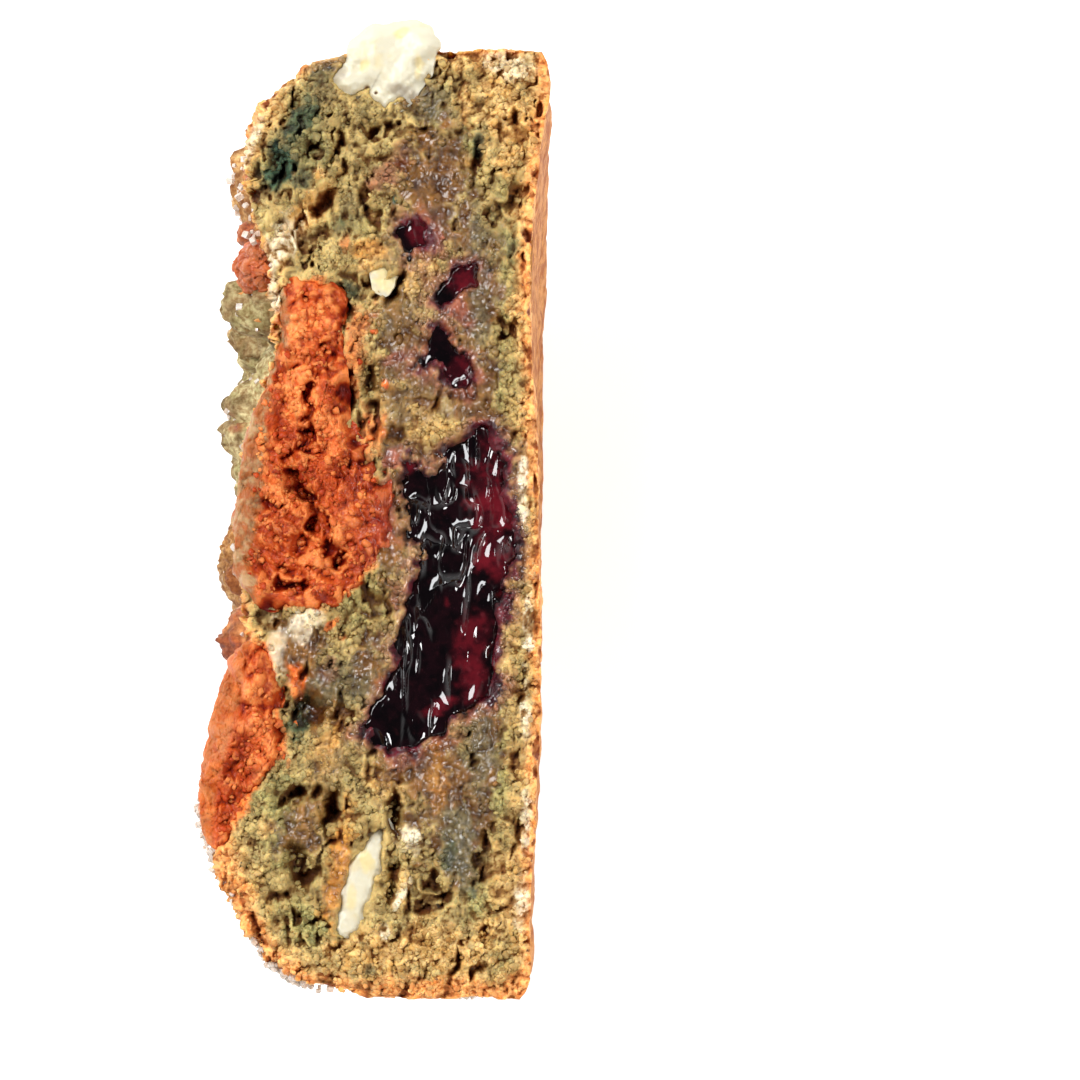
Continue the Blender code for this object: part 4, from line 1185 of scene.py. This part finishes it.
def roughened(rings, start, amount):
    """The rings from start on, pushed along their normals by amount(points), for sides that show."""
    normal = outward(rings)
    centre = rings.reshape(-1, 3).mean(axis=0)
    if ((rings[start:] - centre) * normal[start:]).sum() < 0:
        normal = -normal
    push = amount(rings.reshape(-1, 3)).reshape(rings.shape[:2])
    ease = smooth((np.arange(len(rings)) - start + 1) / 4.0)[:, None]
    return rings + normal * (push * ease)[:, :, None]


# %% [markdown]
# ## Jam
#
# Berry jam is nearly black where it is thick and wine red where it is thin. It folds as it is pulled
# by the knife, so its top is ridges over slower swells, twice as long along the muffin as across. It
# is wet, and nearly all of its look is in small bright highlights on a dark ground.

# %% Jam
def jam_finish():
    """Black to wine red by mask, under a clear, sharp coat."""
    made, tree, inputs = finish("jam", Coat_Roughness=0.06, Coat_IOR=1.55, Specular_IOR_Level=0.0)
    blotch = tree.noise(1.8, 3.0).step(0.36, 0.64)
    thin = tree.mask("thin")
    colour = tree.mix(blotch, shade(5, 2, 4), shade(18, 4, 8))
    colour = tree.mix(thin, colour, tree.mix(blotch, shade(52, 8, 16), shade(98, 18, 28)))
    pulp = tree.noise(0.8, 3.0, shift=0.4).step(0.55, 0.8)
    colour = tree.mix(pulp * (0.04 + 0.3 * thin), colour, shade(128, 52, 60))
    ripple = tree.noise(0.9, 1.0)
    normal = tree.bump(ripple, 0.10, 0.3)
    connect(tree, inputs, Base_Color=colour, Roughness=0.3 + 0.25 * pulp, Coat_Weight=0.9 + 0.1 * ripple,
            Normal=normal)
    return made


def jam_top(level, fold):
    """Height of jam: slow swells and ridges 1 - |swell|, finer in places, sinking past its edge."""
    def height(x, y, inside):
        flat = on_cut(x, y) * (1.0, 0.5)
        slow = swells(flat, (0.3, 2.4, 411), (0.35, 4.6, 410))
        ridge = 1 - np.abs(swell(warp(flat, 2.0, 0.8, 412), 2.0, 415))
        small = 1 - np.abs(swell(warp(flat, 1.2, 0.5, 416), 1.2, 419))
        busy = 0.3 + 0.7 * smooth((swell(flat, 2.4, 421) + 0.7) / 0.6)
        folds = slow + 0.46 * ridge**2 + 0.28 * busy * small**2 + 0.06 * busy * swell(flat, 0.7, 422) - 0.4
        return CUT_HEIGHT + level + fold * folds - 1.5 * smooth((0.5 - inside) / 1.6)
    return height


# Where jam is thin enough to glow red: patches of the centre, mostly on its base side, and the berries.
JAM_THIN = [
    (11.9, -0.6, 2.2, 8.6, 4, 0.9), (6.4, -19.4, 2.6, 0.9, 25, 0.9), (9.4, -12.4, 1.9, 4.0, 0, 0.6),
    (3.4, 5.4, 1.0, 1.2, 0, 0.8), (8.8, 23.0, 2.0, 1.8, 0, 0.8), (4.6, 28.4, 1.2, 1.4, 0, 0.7),
    (8.6, 14.0, 1.4, 1.6, 0, 0.6), (9.8, -17.0, 1.6, 3.0, 0, 0.7),
]
jam_material = jam_finish()
# Each piece: node, edge, centre, level, fold, depth, squareness, points round, rings of the top.
JAM_PIECES = (
    ("jam_centre", JAM_EDGE, (7.0, -6.6), -0.85, 1.0, 15.0, 0.75, 420, 190),
    ("berry_high", BERRY_HIGH_EDGE, (4.0, 27.6), -0.55, 0.7, 3.0, 0.7, 140, 60),
    ("berry_mid", BERRY_MID_EDGE, (8.0, 22.6), -0.55, 0.7, 3.5, 0.7, 140, 60),
    ("berry_low", BERRY_LOW_EDGE, (6.7, 15.6), -0.6, 0.7, 4.0, 0.7, 170, 70),
)
for name, edge, centre, level, fold, depth, square, sides, rings in JAM_PIECES:
    stack = fill_rings(edge, np.array(centre), depth, square, jam_top(level, fold), sides, rings, 10)
    points, faces = closed_rings(stack)
    thin = spread(points[:, 0], points[:, 1], JAM_THIN, 431)
    add_piece(name + "_wet", points, faces, jam_material, [name], {"thin": thin})

# %% [markdown]
# ## Orange dough
#
# The orange dough is drier than the crumb round it and breaks into clumps and coarse grains, with dark
# crevices where two lumps meet. Outside, where it was baked, it has a skin of soft lumps.

# %% Orange dough
# Crevices as (line, half width, depth), and pits as (x, y, half width, half length, depth).
CREVICES = (
    ([(-8.2, 3.8), (-6.6, 1.4), (-5.4, -1.4), (-3.7, -4.4)], 0.8, 3.4),
    ([(-9.2, -7.0), (-7.4, -7.4)], 0.6, 1.8),
    ([(-6.6, 12.6), (-6.9, 9.6), (-6.2, 6.6)], 0.5, 2.0),
)
ORANGE_PITS = [
    (-7.2, 7.6, 0.7, 0.9, 1.8), (-2.9, 11.6, 1.2, 1.6, 1.4), (-8.8, 5.4, 0.8, 1.3, 1.4),
    (-7.4, -2.8, 2.4, 1.0, 1.2), (-4.4, 16.4, 0.6, 1.6, 1.2), (-10.8, 1.0, 1.8, 0.6, 0.9),
    (-2.2, 5.2, 1.6, 0.6, 0.8),
]


def orange_finish():
    """Orange from deep to apricot by noise, painted shade and highlight, pores shaded dark red, and a
    baked, tan skin by mask.
    """
    made, tree, inputs = finish(
        "orange_dough", Subsurface_Weight=0.25, Subsurface_Radius=(1.0, 0.35, 0.12), Subsurface_Scale=0.001,
        Coat_Roughness=0.18, Specular_IOR_Level=0.22,
    )
    blotch = tree.noise(1.6, 4.0).step(0.34, 0.66)
    colour = tree.mix(blotch, shade(156, 51, 9), shade(191, 78, 25))
    bright = tree.noise(1.0, 5.0, shift=0.2).step(0.36, 0.6)
    apricot = tree.mix(bright, shade(228, 108, 42), shade(244, 152, 84))
    colour = tree.mix(tree.mask("light") * (0.55 + 0.45 * bright), colour, apricot)
    # Painted shade in the dough's hollows and painted highlight on its crowns, from the height.
    tone_and_shading = tree.mask("tone_and_shading")
    shadow = tree.mix(tone_and_shading.step(0.0, 0.62), shade(222, 158, 128), WHITE)
    colour = tree.mix(1.0, colour, shadow, "MULTIPLY")
    colour = tree.mix(0.5 * tone_and_shading.step(0.6, 1.0), colour, shade(250, 156, 84))
    baked = tree.noise(1.2, 4.0, shift=0.6).step(0.3, 0.7)
    baked = tree.mix(baked, shade(176, 76, 22), shade(206, 110, 44))
    tan = tree.noise(1.5, 4.0, shift=0.8).step(0.4, 0.62)
    baked = tree.mix(tan * 0.5, baked, shade(186, 124, 76))
    baked = tree.mix(tree.mask("tan") * (0.55 + 0.45 * tan), baked,
                     tree.mix(tan, shade(136, 90, 52), shade(176, 138, 96)))
    colour = tree.tinted(tree.mask("moist"), colour, shade(216, 184, 176))
    colour = tree.mix(tree.mask("skin"), colour, baked)
    # Painted shade: pores of the dough darker and redder.
    colour = tree.tinted(tree.mask("pore_shade"), colour, shade(170, 84, 60))
    fine = tree.noise(0.2, 3.0, 0.65)
    grain = tree.noise(0.5, 4.0, 0.65)
    normal = tree.bump(fine, 0.07, 0.6, tree.bump(grain, 0.15, 0.6))
    connect(tree, inputs, Base_Color=colour, Roughness=0.58 - 0.15 * grain, Normal=normal,
            Coat_Weight=0.08 + 0.4 * tree.mask("moist"))
    return made


# Where the dough is pale and dry, as (x, y, half width, half length, turn, strength).
ORANGE_LIGHT = [
    (-7.0, 19.2, 2.6, 3.0, 0, 1.0), (-7.4, 13.0, 1.5, 4.2, 0, 0.9), (-11.4, 6.4, 1.0, 2.6, 0, 0.9),
    (-9.6, 2.6, 1.8, 1.6, 0, 0.9), (-4.6, 8.6, 1.4, 2.8, 30, 0.7), (-6.3, -4.0, 1.1, 1.6, 0, 0.7),
    (-3.8, -2.4, 0.9, 2.6, 0, 0.5), (-1.6, 0.6, 1.4, 2.0, 0, 0.5), (-11.4, -22.0, 1.5, 8.0, 6, 0.7),
]


def orange_top(level):
    """Height of the dough: clumps and grains, less trenches along the crevices, and the pits."""
    def height(x, y, inside):
        flat = on_cut(x, y)
        bent = warp(warp(flat, 1.3, 0.6, 433), 0.5, 0.25, 434)
        clumps = 1.7 * billow(flat, 4.2, 435) + 1.0 * billow(flat * (1.0, 0.8), 2.0, 437)
        z = CUT_HEIGHT + level - 1.1 + 0.65 * crumb_stack(flat + 40.0) - 0.25 * crumb_pores(flat + 60.0)
        z = z + 0.7 * swell(flat, 4.5, 431) + clumps
        for line, wide, deep in CREVICES:
            z = z - deep * np.exp(-((line_distance(*bent.T, line) / wide) ** 3))
        for *place, wide, long, deep in ORANGE_PITS:
            u, v = in_ellipse(*bent.T, *place, wide, long, 0)
            z = z - deep * np.exp(-((u * u + v * v) ** 1.6))
        beyond = np.maximum(curve_through(DOME_LINE, y) - x, 0)
        return np.maximum(z - 0.8 * beyond - 1.6 * smooth((0.4 - inside) / 1.8), CUT_HEIGHT - 4.0)
    return height


def grid_painted_shading(rings, top_rings):
    """Painted shade and highlight of a top of rings, from its height against its mean, and plain ones
    elsewhere.
    """
    z = rings[:, :, 2].copy()
    z[top_rings:] = z[top_rings - 1]
    # Painted shade in pores, from the height against its mean.
    pore_shade = np.clip((blurred(z, 5) - z) / 0.9 + np.clip((blurred(z, 14) - z - 0.3) / 1.8, 0, 1), 0, 1)
    # Painted shade and highlight of grains, from the height against its mean.
    tone_and_shading = np.clip(0.58 + (z - blurred(z, 4)) / 1.2 + (z - blurred(z, 12)) / 2.4, 0, 1)
    tone_and_shading[top_rings:], pore_shade[top_rings:] = 0.6, 0
    return np.append(pore_shade.ravel(), [0, 0]), np.append(tone_and_shading.ravel(), [0.5, 0.5])


def orange_masks(points, rings, top_rings):
    """Masks of the dough.

    skin: beyond the edge of the cut. tan: the skin of the centre piece. moist: near the jam.
    light: pale, dry dough. From the height: painted shade in pores, painted shade and highlight on grains.
    """
    x, y = points[:, 0], points[:, 1]
    beyond = curve_through(DOME_LINE, y) - x
    centre = smooth((y + 14.0) / 2.0)
    wander = swells(on_cut(x, y), (0.5, 1.4, 438), (0.3, 0.6, 439))
    skin = smooth((beyond + 0.2 + 1.3 * centre + wander * centre) / 0.8)
    sides = slice(top_rings * rings.shape[1], None)
    skin[sides] = smooth((beyond[sides] + 3.0) / 1.5)
    pore_shade, tone_and_shading = grid_painted_shading(rings, top_rings)
    moist = smooth((7.0 - outside(x, y, JAM_EDGE)) / 4.0)
    light = spread(x, y, ORANGE_LIGHT, 436)
    return {"skin": skin, "tan": skin * centre, "moist": moist, "light": light,
            "pore_shade": pore_shade * (1 - skin), "tone_and_shading": tone_and_shading}


def dough_crust(points):
    """Relief of the baked skin: soft lumps of 4 mm, billows of 2 and 0.9 mm, and grit."""
    lumps = 0.5 * swell(points, 4.0, 441) + 0.75 * billow(points, 2.0, 442) + 0.4 * billow(points, 0.9, 444)
    return lumps + 0.14 * swell(points, 0.45, 443) - 0.4


ORANGE_LEVEL = 0.3
orange_material = orange_finish()
for name, edge, centre, level, depth, sides, rings in (
    ("orange_centre", ORANGE_EDGE, (-7.0, 4.0), ORANGE_LEVEL, 9.0, 460, 150),
    ("orange_side", ORANGE_SIDE_EDGE, (-13.8, -23.6), 0.2, 11.0, 340, 80),
):
    stack = fill_rings(edge, np.array(centre), depth, 0.55, orange_top(level), sides, rings, 44)
    stack = roughened(stack, rings, dough_crust)
    points, faces = closed_rings(stack)
    add_piece(name + "_dough", points, faces, orange_material, [name],
              orange_masks(points, stack, rings))

# %% The orange lump in the dome
LUMP_CENTRE = (-11.6, 24.8, CUT_HEIGHT - 4.6)
LUMP_SIZE = (2.7, 2.7, 3.5)
LUMP_SIDES = 160
LUMP_RINGS = 98


def build_lump():
    """An ellipsoid, centre + size * (cos a sin b, sin a sin b, cos b), its radius lumped by nuggets."""
    a = np.linspace(0, 2 * math.pi, LUMP_SIDES, endpoint=False)
    b = np.linspace(0, math.pi, LUMP_RINGS + 2)[1:-1, None]
    unit = np.stack([np.cos(a) * np.sin(b), np.sin(a) * np.sin(b), np.cos(b) + 0 * a], axis=-1)
    flat = unit.reshape(-1, 3)
    chance, gap, tilt = nuggets(warp(flat * 3, 1.0, 0.5, 451), 1.5, 452)[1:]
    fine_chance, fine_tilt = nuggets(warp(flat * 3, 0.5, 0.2, 455), 0.6, 456)[1::2]
    tall = 0.16 * (chance + 0.6 * tilt) + 0.10 * np.sqrt(gap) + 0.06 * (fine_chance + fine_tilt)
    points = np.array(LUMP_CENTRE) + flat * (0.84 + tall)[:, None] * LUMP_SIZE
    return points.reshape(unit.shape), np.clip(tall / 0.28, 0, 1)


lump, tall = build_lump()
points, faces = closed_rings(lump)
tall = np.append(tall, [0.5, 0.5])
# Painted shade where the lump's surface sinks and painted highlight where it stands out.
masks = {"pore_shade": 0.5 * (1 - tall) ** 2, "tone_and_shading": tall}
for mask, value in {"skin": 0.6, "moist": 0.8, "light": 0.2, "tan": 0.25}.items():
    masks[mask] = np.full(len(points), value)
add_piece("orange_lump_dough", points, faces, orange_material, ["orange_lump"], masks)

# %% [markdown]
# ## White chocolate
#
# The chunks softened in the oven and set again. They are smooth and creamy with soft edges, a little
# yellow where the fat has bloomed, and one has small brown pits by its lower edge.

# %% White chocolate
# Pits as (x, y, size), the first two of them brown.
CHUNK_PITS = [(-0.8, 42.6, 0.30), (0.1, 42.1, 0.16), (-1.6, 44.8, 0.5), (4.2, 45.0, 0.4)]
SMEARS = [
    (3.2, 42.0, 2.0, 0.7, -25, 0.8), (-3.9, 44.2, 0.9, 1.0, 0, 0.8), (0.6, -37.0, 0.4, 3.4, -15, 0.6),
    (-0.4, 40.8, 1.2, 0.4, 0, 0.4),
]
BLOOMS = [
    (2.8, 48.0, 0.8, 0.4, 30, 0.7), (-1.0, 44.8, 0.4, 0.6, 0, 0.7), (4.4, 45.0, 0.5, 1.4, 0, 0.6),
    (-0.8, -34.6, 0.6, 0.9, 0, 0.7), (-2.4, -38.4, 0.5, 1.2, 0, 0.5), (0.7, 23.6, 2.0, 2.0, 0, 0.7),
]


def white_finish():
    """Cream with faint yellow patches, pits by mask, a satin surface and deep, soft light."""
    made, tree, inputs = finish(
        "white_chocolate", Subsurface_Weight=0.35, Subsurface_Radius=(1.0, 0.85, 0.6),
        Subsurface_Scale=0.0015, Coat_Roughness=0.3,
    )
    patch = tree.noise(2.6, 3.0, shift=0.1).step(0.52, 0.72)
    colour = tree.mix(patch * 0.6, shade(208, 201, 177), shade(208, 191, 142))
    colour = tree.mix(tree.mask("bloom"), colour, shade(222, 200, 134))
    colour = tree.mix(tree.mask("pit"), colour, shade(120, 82, 44))
    colour = tree.mix(tree.mask("smear"), colour, shade(168, 156, 136))
    cream = tree.noise(0.9, 3.0)
    normal = tree.bump(cream, 0.25, 0.35)
    connect(tree, inputs, Base_Color=colour, Roughness=0.42 + 0.15 * cream, Normal=normal,
            Coat_Weight=0.12 + 0.1 * cream)
    return made


def white_top(level, roll):
    """Height of a chunk: slow swells, small pits, and an edge that rolls under and sinks past its line."""
    def height(x, y, inside):
        z = CUT_HEIGHT + level + swells(on_cut(x, y), (0.4, 2.4, 461), (0.12, 0.9, 462), (0.03, 0.4, 463))
        for px, py, size in CHUNK_PITS:
            z = z - 0.6 * np.exp(-(((x - px) ** 2 + (y - py) ** 2) / size**2))
        return z - (0.9 + level) * smooth((roll - inside) / (roll + 1.0))
    return height


def white_masks(points):
    """pit: round the brown pits. bloom: yellow patches. smear: greyer, thin chocolate at some edges."""
    x, y = points[:, 0], points[:, 1]
    pit = np.zeros(len(x))
    for px, py, size in CHUNK_PITS[:2]:
        pit = np.maximum(pit, smooth(1.4 - np.hypot(x - px, y - py) / size))
    return {"pit": pit, "smear": spread(x, y, SMEARS, 463), "bloom": spread(x, y, BLOOMS, 467)}


def soft_side(points):
    """Relief of a chunk's side: soft lumps of 2.2 and 0.8 mm."""
    return swells(points, (0.25, 2.2, 464), (0.08, 0.8, 465))


white_material = white_finish()
for name, edge, centre, level, depth, roll, sides, rings, spill in (
    ("white_chunk_top", WHITE_TOP_EDGE, (1.0, 44.8), 1.0, 7.0, 1.6, 300, 110, 0.8),
    ("white_chunk_low", WHITE_LOW_EDGE, (-1.3, -36.5), -0.1, 7.0, 0.7, 260, 80, 0.5),
    ("white_bit", WHITE_BIT_EDGE, (0.7, 23.6), -0.7, 2.5, 0.9, 100, 50, 0.2),
):
    top = white_top(level, roll)
    stack = fill_rings(edge, np.array(centre), depth, 0.45, top, sides, rings, 24, spill)
    stack = roughened(stack, rings, soft_side)
    points, faces = closed_rings(stack)
    add_piece(name + "_cream", points, faces, white_material, [name],
              white_masks(points))

# %% [markdown]
# ## Loose crumbs
#
# Thousands of small crumbs stand on the torn surface. Each is the same little body, a cube blown up
# to a ball of 24 faces, then stretched, turned and lumped by its own random numbers. All of one kind
# are one mesh, made with a single array sum: place + size * lumped body.

# %% One mesh of many crumbs
def cube_ball(square):
    """A cube's 26 outer points and 24 faces, pulled to the sphere, but less the nearer square is to 1."""
    steps = (-1, 0, 1)
    points = [(i, j, k) for i in steps for j in steps for k in steps if abs(i) + abs(j) + abs(k) > 0]
    index = {p: n for n, p in enumerate(points)}
    faces = []
    for axis in range(3):
        for side in (-1, 1):
            for u in (-1, 0):
                for v in (-1, 0):
                    ring = []
                    for du, dv in ((0, 0), (1, 0), (1, 1), (0, 1)):
                        corner = [0, 0, 0]
                        corner[axis] = side
                        corner[(axis + 1) % 3], corner[(axis + 2) % 3] = u + du, v + dv
                        ring.append(index[tuple(corner)])
                    faces.append(ring if side > 0 else ring[::-1])
    cube = np.array(points, float)
    ball = cube / np.linalg.norm(cube, axis=1, keepdims=True)
    return ball * (1 - square) + cube * square * 0.75, np.array(faces)


def random_turns(draw, count):
    """Rotation matrices: the Q of random matrices, with the last column flipped where one mirrors."""
    turns = np.linalg.qr(draw.normal(size=(count, 3, 3)))[0]
    turns[:, :, 2] *= np.sign(np.linalg.det(turns))[:, None]
    return turns


BIT_POINTS = 26
CRUMB_TRIES = 14500
ORANGE_TRIES = 26000
CRYSTALS = 2300


def many_bits(places, sizes, draw, lumps=0.6, stretch=0.4, square=0.3):
    """Points and faces of one bit at each place, of each size across, lumped and stretched by chance."""
    ball, faces = cube_ball(square)
    count = len(places)
    seeds = draw.uniform(-500, 500, size=(count, 1, 3))
    lumped = 1 + lumps * swell((ball[None] * 1.1 + seeds).reshape(-1, 3), 0.8, 471).reshape(count, -1)
    bodies = ball[None] * lumped[:, :, None] * (1 + stretch * draw.uniform(-1, 1, size=(count, 1, 3)))
    bodies = np.einsum("nij,nkj->nki", random_turns(draw, count), bodies)
    points = places[:, None, :] + bodies * (sizes * 0.5)[:, None, None]
    all_faces = faces[None] + (np.arange(count) * len(ball))[:, None, None]
    return points.reshape(-1, 3), all_faces.reshape(-1, 4).tolist()


def spot_on_cut(draw, count):
    """Random places (x, y) inside the outline of the cut, less a margin."""
    x, y = draw.uniform(-16, 17, count), draw.uniform(-48, 46, count)
    keep = (x > curve_through(DOME_LINE, y) + 0.5) & (x < curve_through(BASE_LINE, y) - 0.4)
    return x[keep], y[keep]


def clear_of_fillings(x, y, margin):
    """True where a point is margin outside every filling."""
    far = np.minimum.reduce([outside(x, y, loop, 40) for loop in FILLING_EDGES.values()])
    return far > margin


def sow_crumbs():
    """Crumbs on the high spots of the dry crumb, fewer where it is wet, each a little paler or darker."""
    draw = np.random.default_rng(SEED)
    x, y = spot_on_cut(draw, CRUMB_TRIES)
    masks = surface_masks(x, y)
    z, fine = cut_height(x, y, masks)
    keep = clear_of_fillings(x, y, 0.3) & (fine > 0.7) & (draw.uniform(size=len(x)) > 0.97 * masks["wet"])
    x, y, z = x[keep], y[keep], z[keep]
    masks = {name: values[keep] for name, values in masks.items()}
    masks["tone_and_shading"] = draw.uniform(0.25, 1.0, size=len(x))
    sizes = 0.28 + 0.45 * draw.uniform(size=len(x)) ** 2
    places = np.stack([x, y, z + 0.05 * sizes], axis=1)
    points, faces = many_bits(places, sizes, draw)
    return points, faces, {name: np.repeat(values, BIT_POINTS) for name, values in masks.items()}


points, faces, masks = sow_crumbs()
add_piece("crumb_bits", points, faces, crumb_material, (), masks, turn_out=False)

# %% Grains of orange dough
def sow_orange():
    """Grains over the orange dough, with a few strays on the crumb near it."""
    draw = np.random.default_rng(SEED + 1)
    x, y = spot_on_cut(draw, ORANGE_TRIES)
    orange = from_orange(x, y)
    stray = spread(x, y, ZONES["orange"], 480) * 0.05 + 0.01 * smooth((3.0 - orange) / 2.0)
    chance = np.where(orange < -0.3, 0.26, np.where(clear_of_fillings(x, y, 0.2), stray, 0))
    keep = draw.uniform(size=len(x)) < chance
    x, y, orange = x[keep], y[keep], orange[keep]
    on_dough = orange_top(ORANGE_LEVEL)(x, y, -orange)
    z = np.where(orange < 0, on_dough, cut_height(x, y, surface_masks(x, y))[0])
    sizes = 0.3 + 0.5 * draw.uniform(size=len(x)) ** 2
    points, faces = many_bits(np.stack([x, y, z + 0.05 * sizes], axis=1), sizes, draw)
    masks = {name: np.zeros(len(points)) for name in ("skin", "pore_shade", "moist", "tan")}
    masks["tone_and_shading"] = np.repeat(draw.uniform(0.3, 1.0, size=len(x)), BIT_POINTS)
    masks["light"] = np.repeat(spread(x, y, ORANGE_LIGHT, 436), BIT_POINTS)
    return points, faces, masks


points, faces, masks = sow_orange()
add_piece("orange_bits", points, faces, orange_material, (), masks, turn_out=False)

# %% [markdown]
# ## Sugar
#
# Coarse sugar was strewn on the dome before baking. It lies thickest towards the rim, in drifts, and
# a crystal is a cube with worn corners that lets some light through.

# %% Sugar
def sugar_finish():
    """Clear to milky crystal: white, smooth, part of its light passing through."""
    made, tree, inputs = finish("sugar", Transmission_Weight=0.4, IOR=1.5)
    frost = tree.noise(0.5, 2.0).step(0.4, 0.6)
    colour = tree.mix(frost, shade(246, 236, 224), shade(232, 208, 186))
    connect(tree, inputs, Base_Color=colour, Roughness=0.08 + 0.3 * frost)
    return made


# Drifts of sugar on the rim of the cut, as (y, half length, crystals).
SUGAR_DRIFTS = [(-31.8, 3.0, 130), (-37.5, 3.0, 50), (-45.6, 2.0, 120), (25.5, 4.0, 16), (33.0, 6.0, 10)]
DRIFT_STEPS = 200
# No crystal's middle lies further left, which keeps the sugar in the solid model's box.
SUGAR_LOW_X = -18.0


def rim_spots(draw):
    """Points and outward normals in the first 4 mm of crust below the cut's dome side, drift by drift."""
    turns = np.arcsin(np.linspace(0.6, 4.0, 18) / MUFFIN_RADIUS)
    across = np.repeat([0.0, 0.2], DRIFT_STEPS)
    spots, facing = [], []
    for y, half, count in SUGAR_DRIFTS:
        along = np.clip(np.linspace(y - 1.4 * half, y + 1.4 * half, DRIFT_STEPS), -47.6, 44.0)
        normal, shell = edge_shell(np.concatenate([along, along[::-1]]), across, turns)
        level = draw.integers(0, len(turns), size=count)
        place = DRIFT_STEPS * (0.5 + 0.22 * draw.normal(size=count))
        place = np.clip(place, 1, DRIFT_STEPS - 2).astype(int)
        spots.append(shell[level, place])
        facing.append(-normal[level, place])
    return np.concatenate(spots), np.concatenate(facing)


def sow_sugar():
    """Crystals at random points of the shell, most of them at the rim and the low end, and in rim_spots."""
    draw = np.random.default_rng(SEED + 2)
    count = len(shell_loop()[0])
    rings = shell_points.reshape(-1, count, 3)
    normal = outward(rings).reshape(-1, 3)
    x, y, z = shell_points.T
    drop = CUT_HEIGHT - z
    radius = np.hypot(y - AXIS_Y, drop)
    drift = smooth((swell(shell_points, 5.0, 491) + 0.15) / 0.5)
    weight = (0.15 + smooth((radius - 30) / 10) + 1.5 * smooth((-28 - y) / 6)) * (0.25 + drift)
    weight = weight * (x < 13.5) * (z > 4.0) * (drop > 2.2)
    weight[: 2 * count] = 0
    weight = weight * (np.hypot(y - 45, x - 1) > 7) * (1 - 0.8 * shell_masks["ember"])
    picked = draw.choice(len(x), CRYSTALS, replace=False, p=weight / weight.sum())
    spots, facing = rim_spots(draw)
    spots, facing = np.concatenate([shell_points[picked], spots]), np.concatenate([normal[picked], facing])
    sizes = 0.35 + 0.6 * draw.uniform(size=len(spots)) ** 1.5
    places = spots + facing * (0.1 * sizes - 0.1)[:, None]
    places[:, 0] = np.maximum(places[:, 0], SUGAR_LOW_X)
    places[:, 2] = np.maximum(places[:, 2], sizes)
    return many_bits(places, sizes, draw, 0.1, 0.25, 0.75)


sugar_material = sugar_finish()
points, faces = sow_sugar()
add_piece("sugar", points, faces, sugar_material, (), None, turn_out=False, facets=True)

# %% [markdown]
# ## Floor and light
#
# The half stands on a white floor that curves up into a wall, in the light of a large window and a
# smaller lamp. The world is dark straight overhead, where the camera hangs, so that jam reflects black.

# %% Floor, lights and world
bpy.context.scene.view_settings.view_transform = "Standard"
FLOOR_RADIUS = 900.0
WALL_RADIUS = 700.0
FLOOR_SIDES = 96


def floor_finish():
    """Matt, nearly white, and lit a little from within, so that it comes out as white as the photo's."""
    made, tree, inputs = finish("floor", Base_Color=(0.93, 0.93, 0.93, 1), Specular_IOR_Level=0.1,
                                Emission_Color=(1, 1, 1, 1), Emission_Strength=0.36)
    mottle = tree.noise(40.0, 2.0)
    connect(tree, inputs, Roughness=0.85 + 0.05 * mottle)
    return made


def build_floor():
    """A flat disc that curves up into a wall all round: a profile of (radius, height) turned about Z."""
    bend = np.linspace(0, math.pi / 2, 13)
    radius = np.concatenate([[20.0, 200.0, 500.0], FLOOR_RADIUS + WALL_RADIUS * np.sin(bend)])
    height = np.concatenate([[0.0, 0.0, 0.0], WALL_RADIUS * (1 - np.cos(bend))])
    turn = np.linspace(0, 2 * math.pi, FLOOR_SIDES, endpoint=False)
    radius, height = radius[:, None], height[:, None]
    points = np.stack([radius * np.cos(turn), radius * np.sin(turn), height + 0 * turn], axis=-1)
    mesh = bpy.data.meshes.new("floor")
    faces = ring_faces(0, FLOOR_SIDES, len(radius)) + [tuple(range(FLOOR_SIDES))]
    mesh.from_pydata((points.reshape(-1, 3) * MM).tolist(), [], faces)
    mesh.shade_smooth()
    mesh.materials.append(floor_finish())
    floor = bpy.data.objects.new("floor", mesh)
    bpy.context.scene.collection.objects.link(floor)


def add_light(name, place, size, power, colour=(1, 1, 1)):
    """An area light at a place in millimetres, aimed at the middle of the cut."""
    lamp = bpy.data.lights.new(name, "AREA")
    lamp.shape = "RECTANGLE"
    lamp.size, lamp.size_y = size[0] * MM, size[1] * MM
    lamp.energy = power
    lamp.color = colour
    holder = bpy.data.objects.new(name, lamp)
    spot = np.array(place, float)
    aim = Vector((np.array([0.0, 0.0, CUT_HEIGHT * 0.8]) - spot).tolist())
    holder.location = (spot * MM).tolist()
    holder.rotation_mode = "QUATERNION"
    holder.rotation_quaternion = aim.to_track_quat("-Z", "Y")
    bpy.context.scene.collection.objects.link(holder)


def studio_world():
    """Bright all round and dark straight overhead, by a smooth step on the height of the view ray."""
    world = bpy.data.worlds.new("studio")
    world.use_nodes = True
    tree = Wire(world.node_tree)
    height = tree.node("SeparateXYZ", None, {"Vector": tree.node("TexCoord")}, 2)
    background = world.node_tree.nodes["Background"].inputs
    background["Color"].default_value = (1, 1, 1, 1)
    world.node_tree.links.new((0.95 - 0.9 * height.step(0.35, 0.8)).socket, background["Strength"])
    return world


build_floor()
add_light("window", (-330, 300, 600), (460, 260), 6.4, (0.97, 0.985, 1.0))
add_light("fill", (420, -260, 560), (180, 180), 2.8)
bpy.context.scene.world = studio_world()
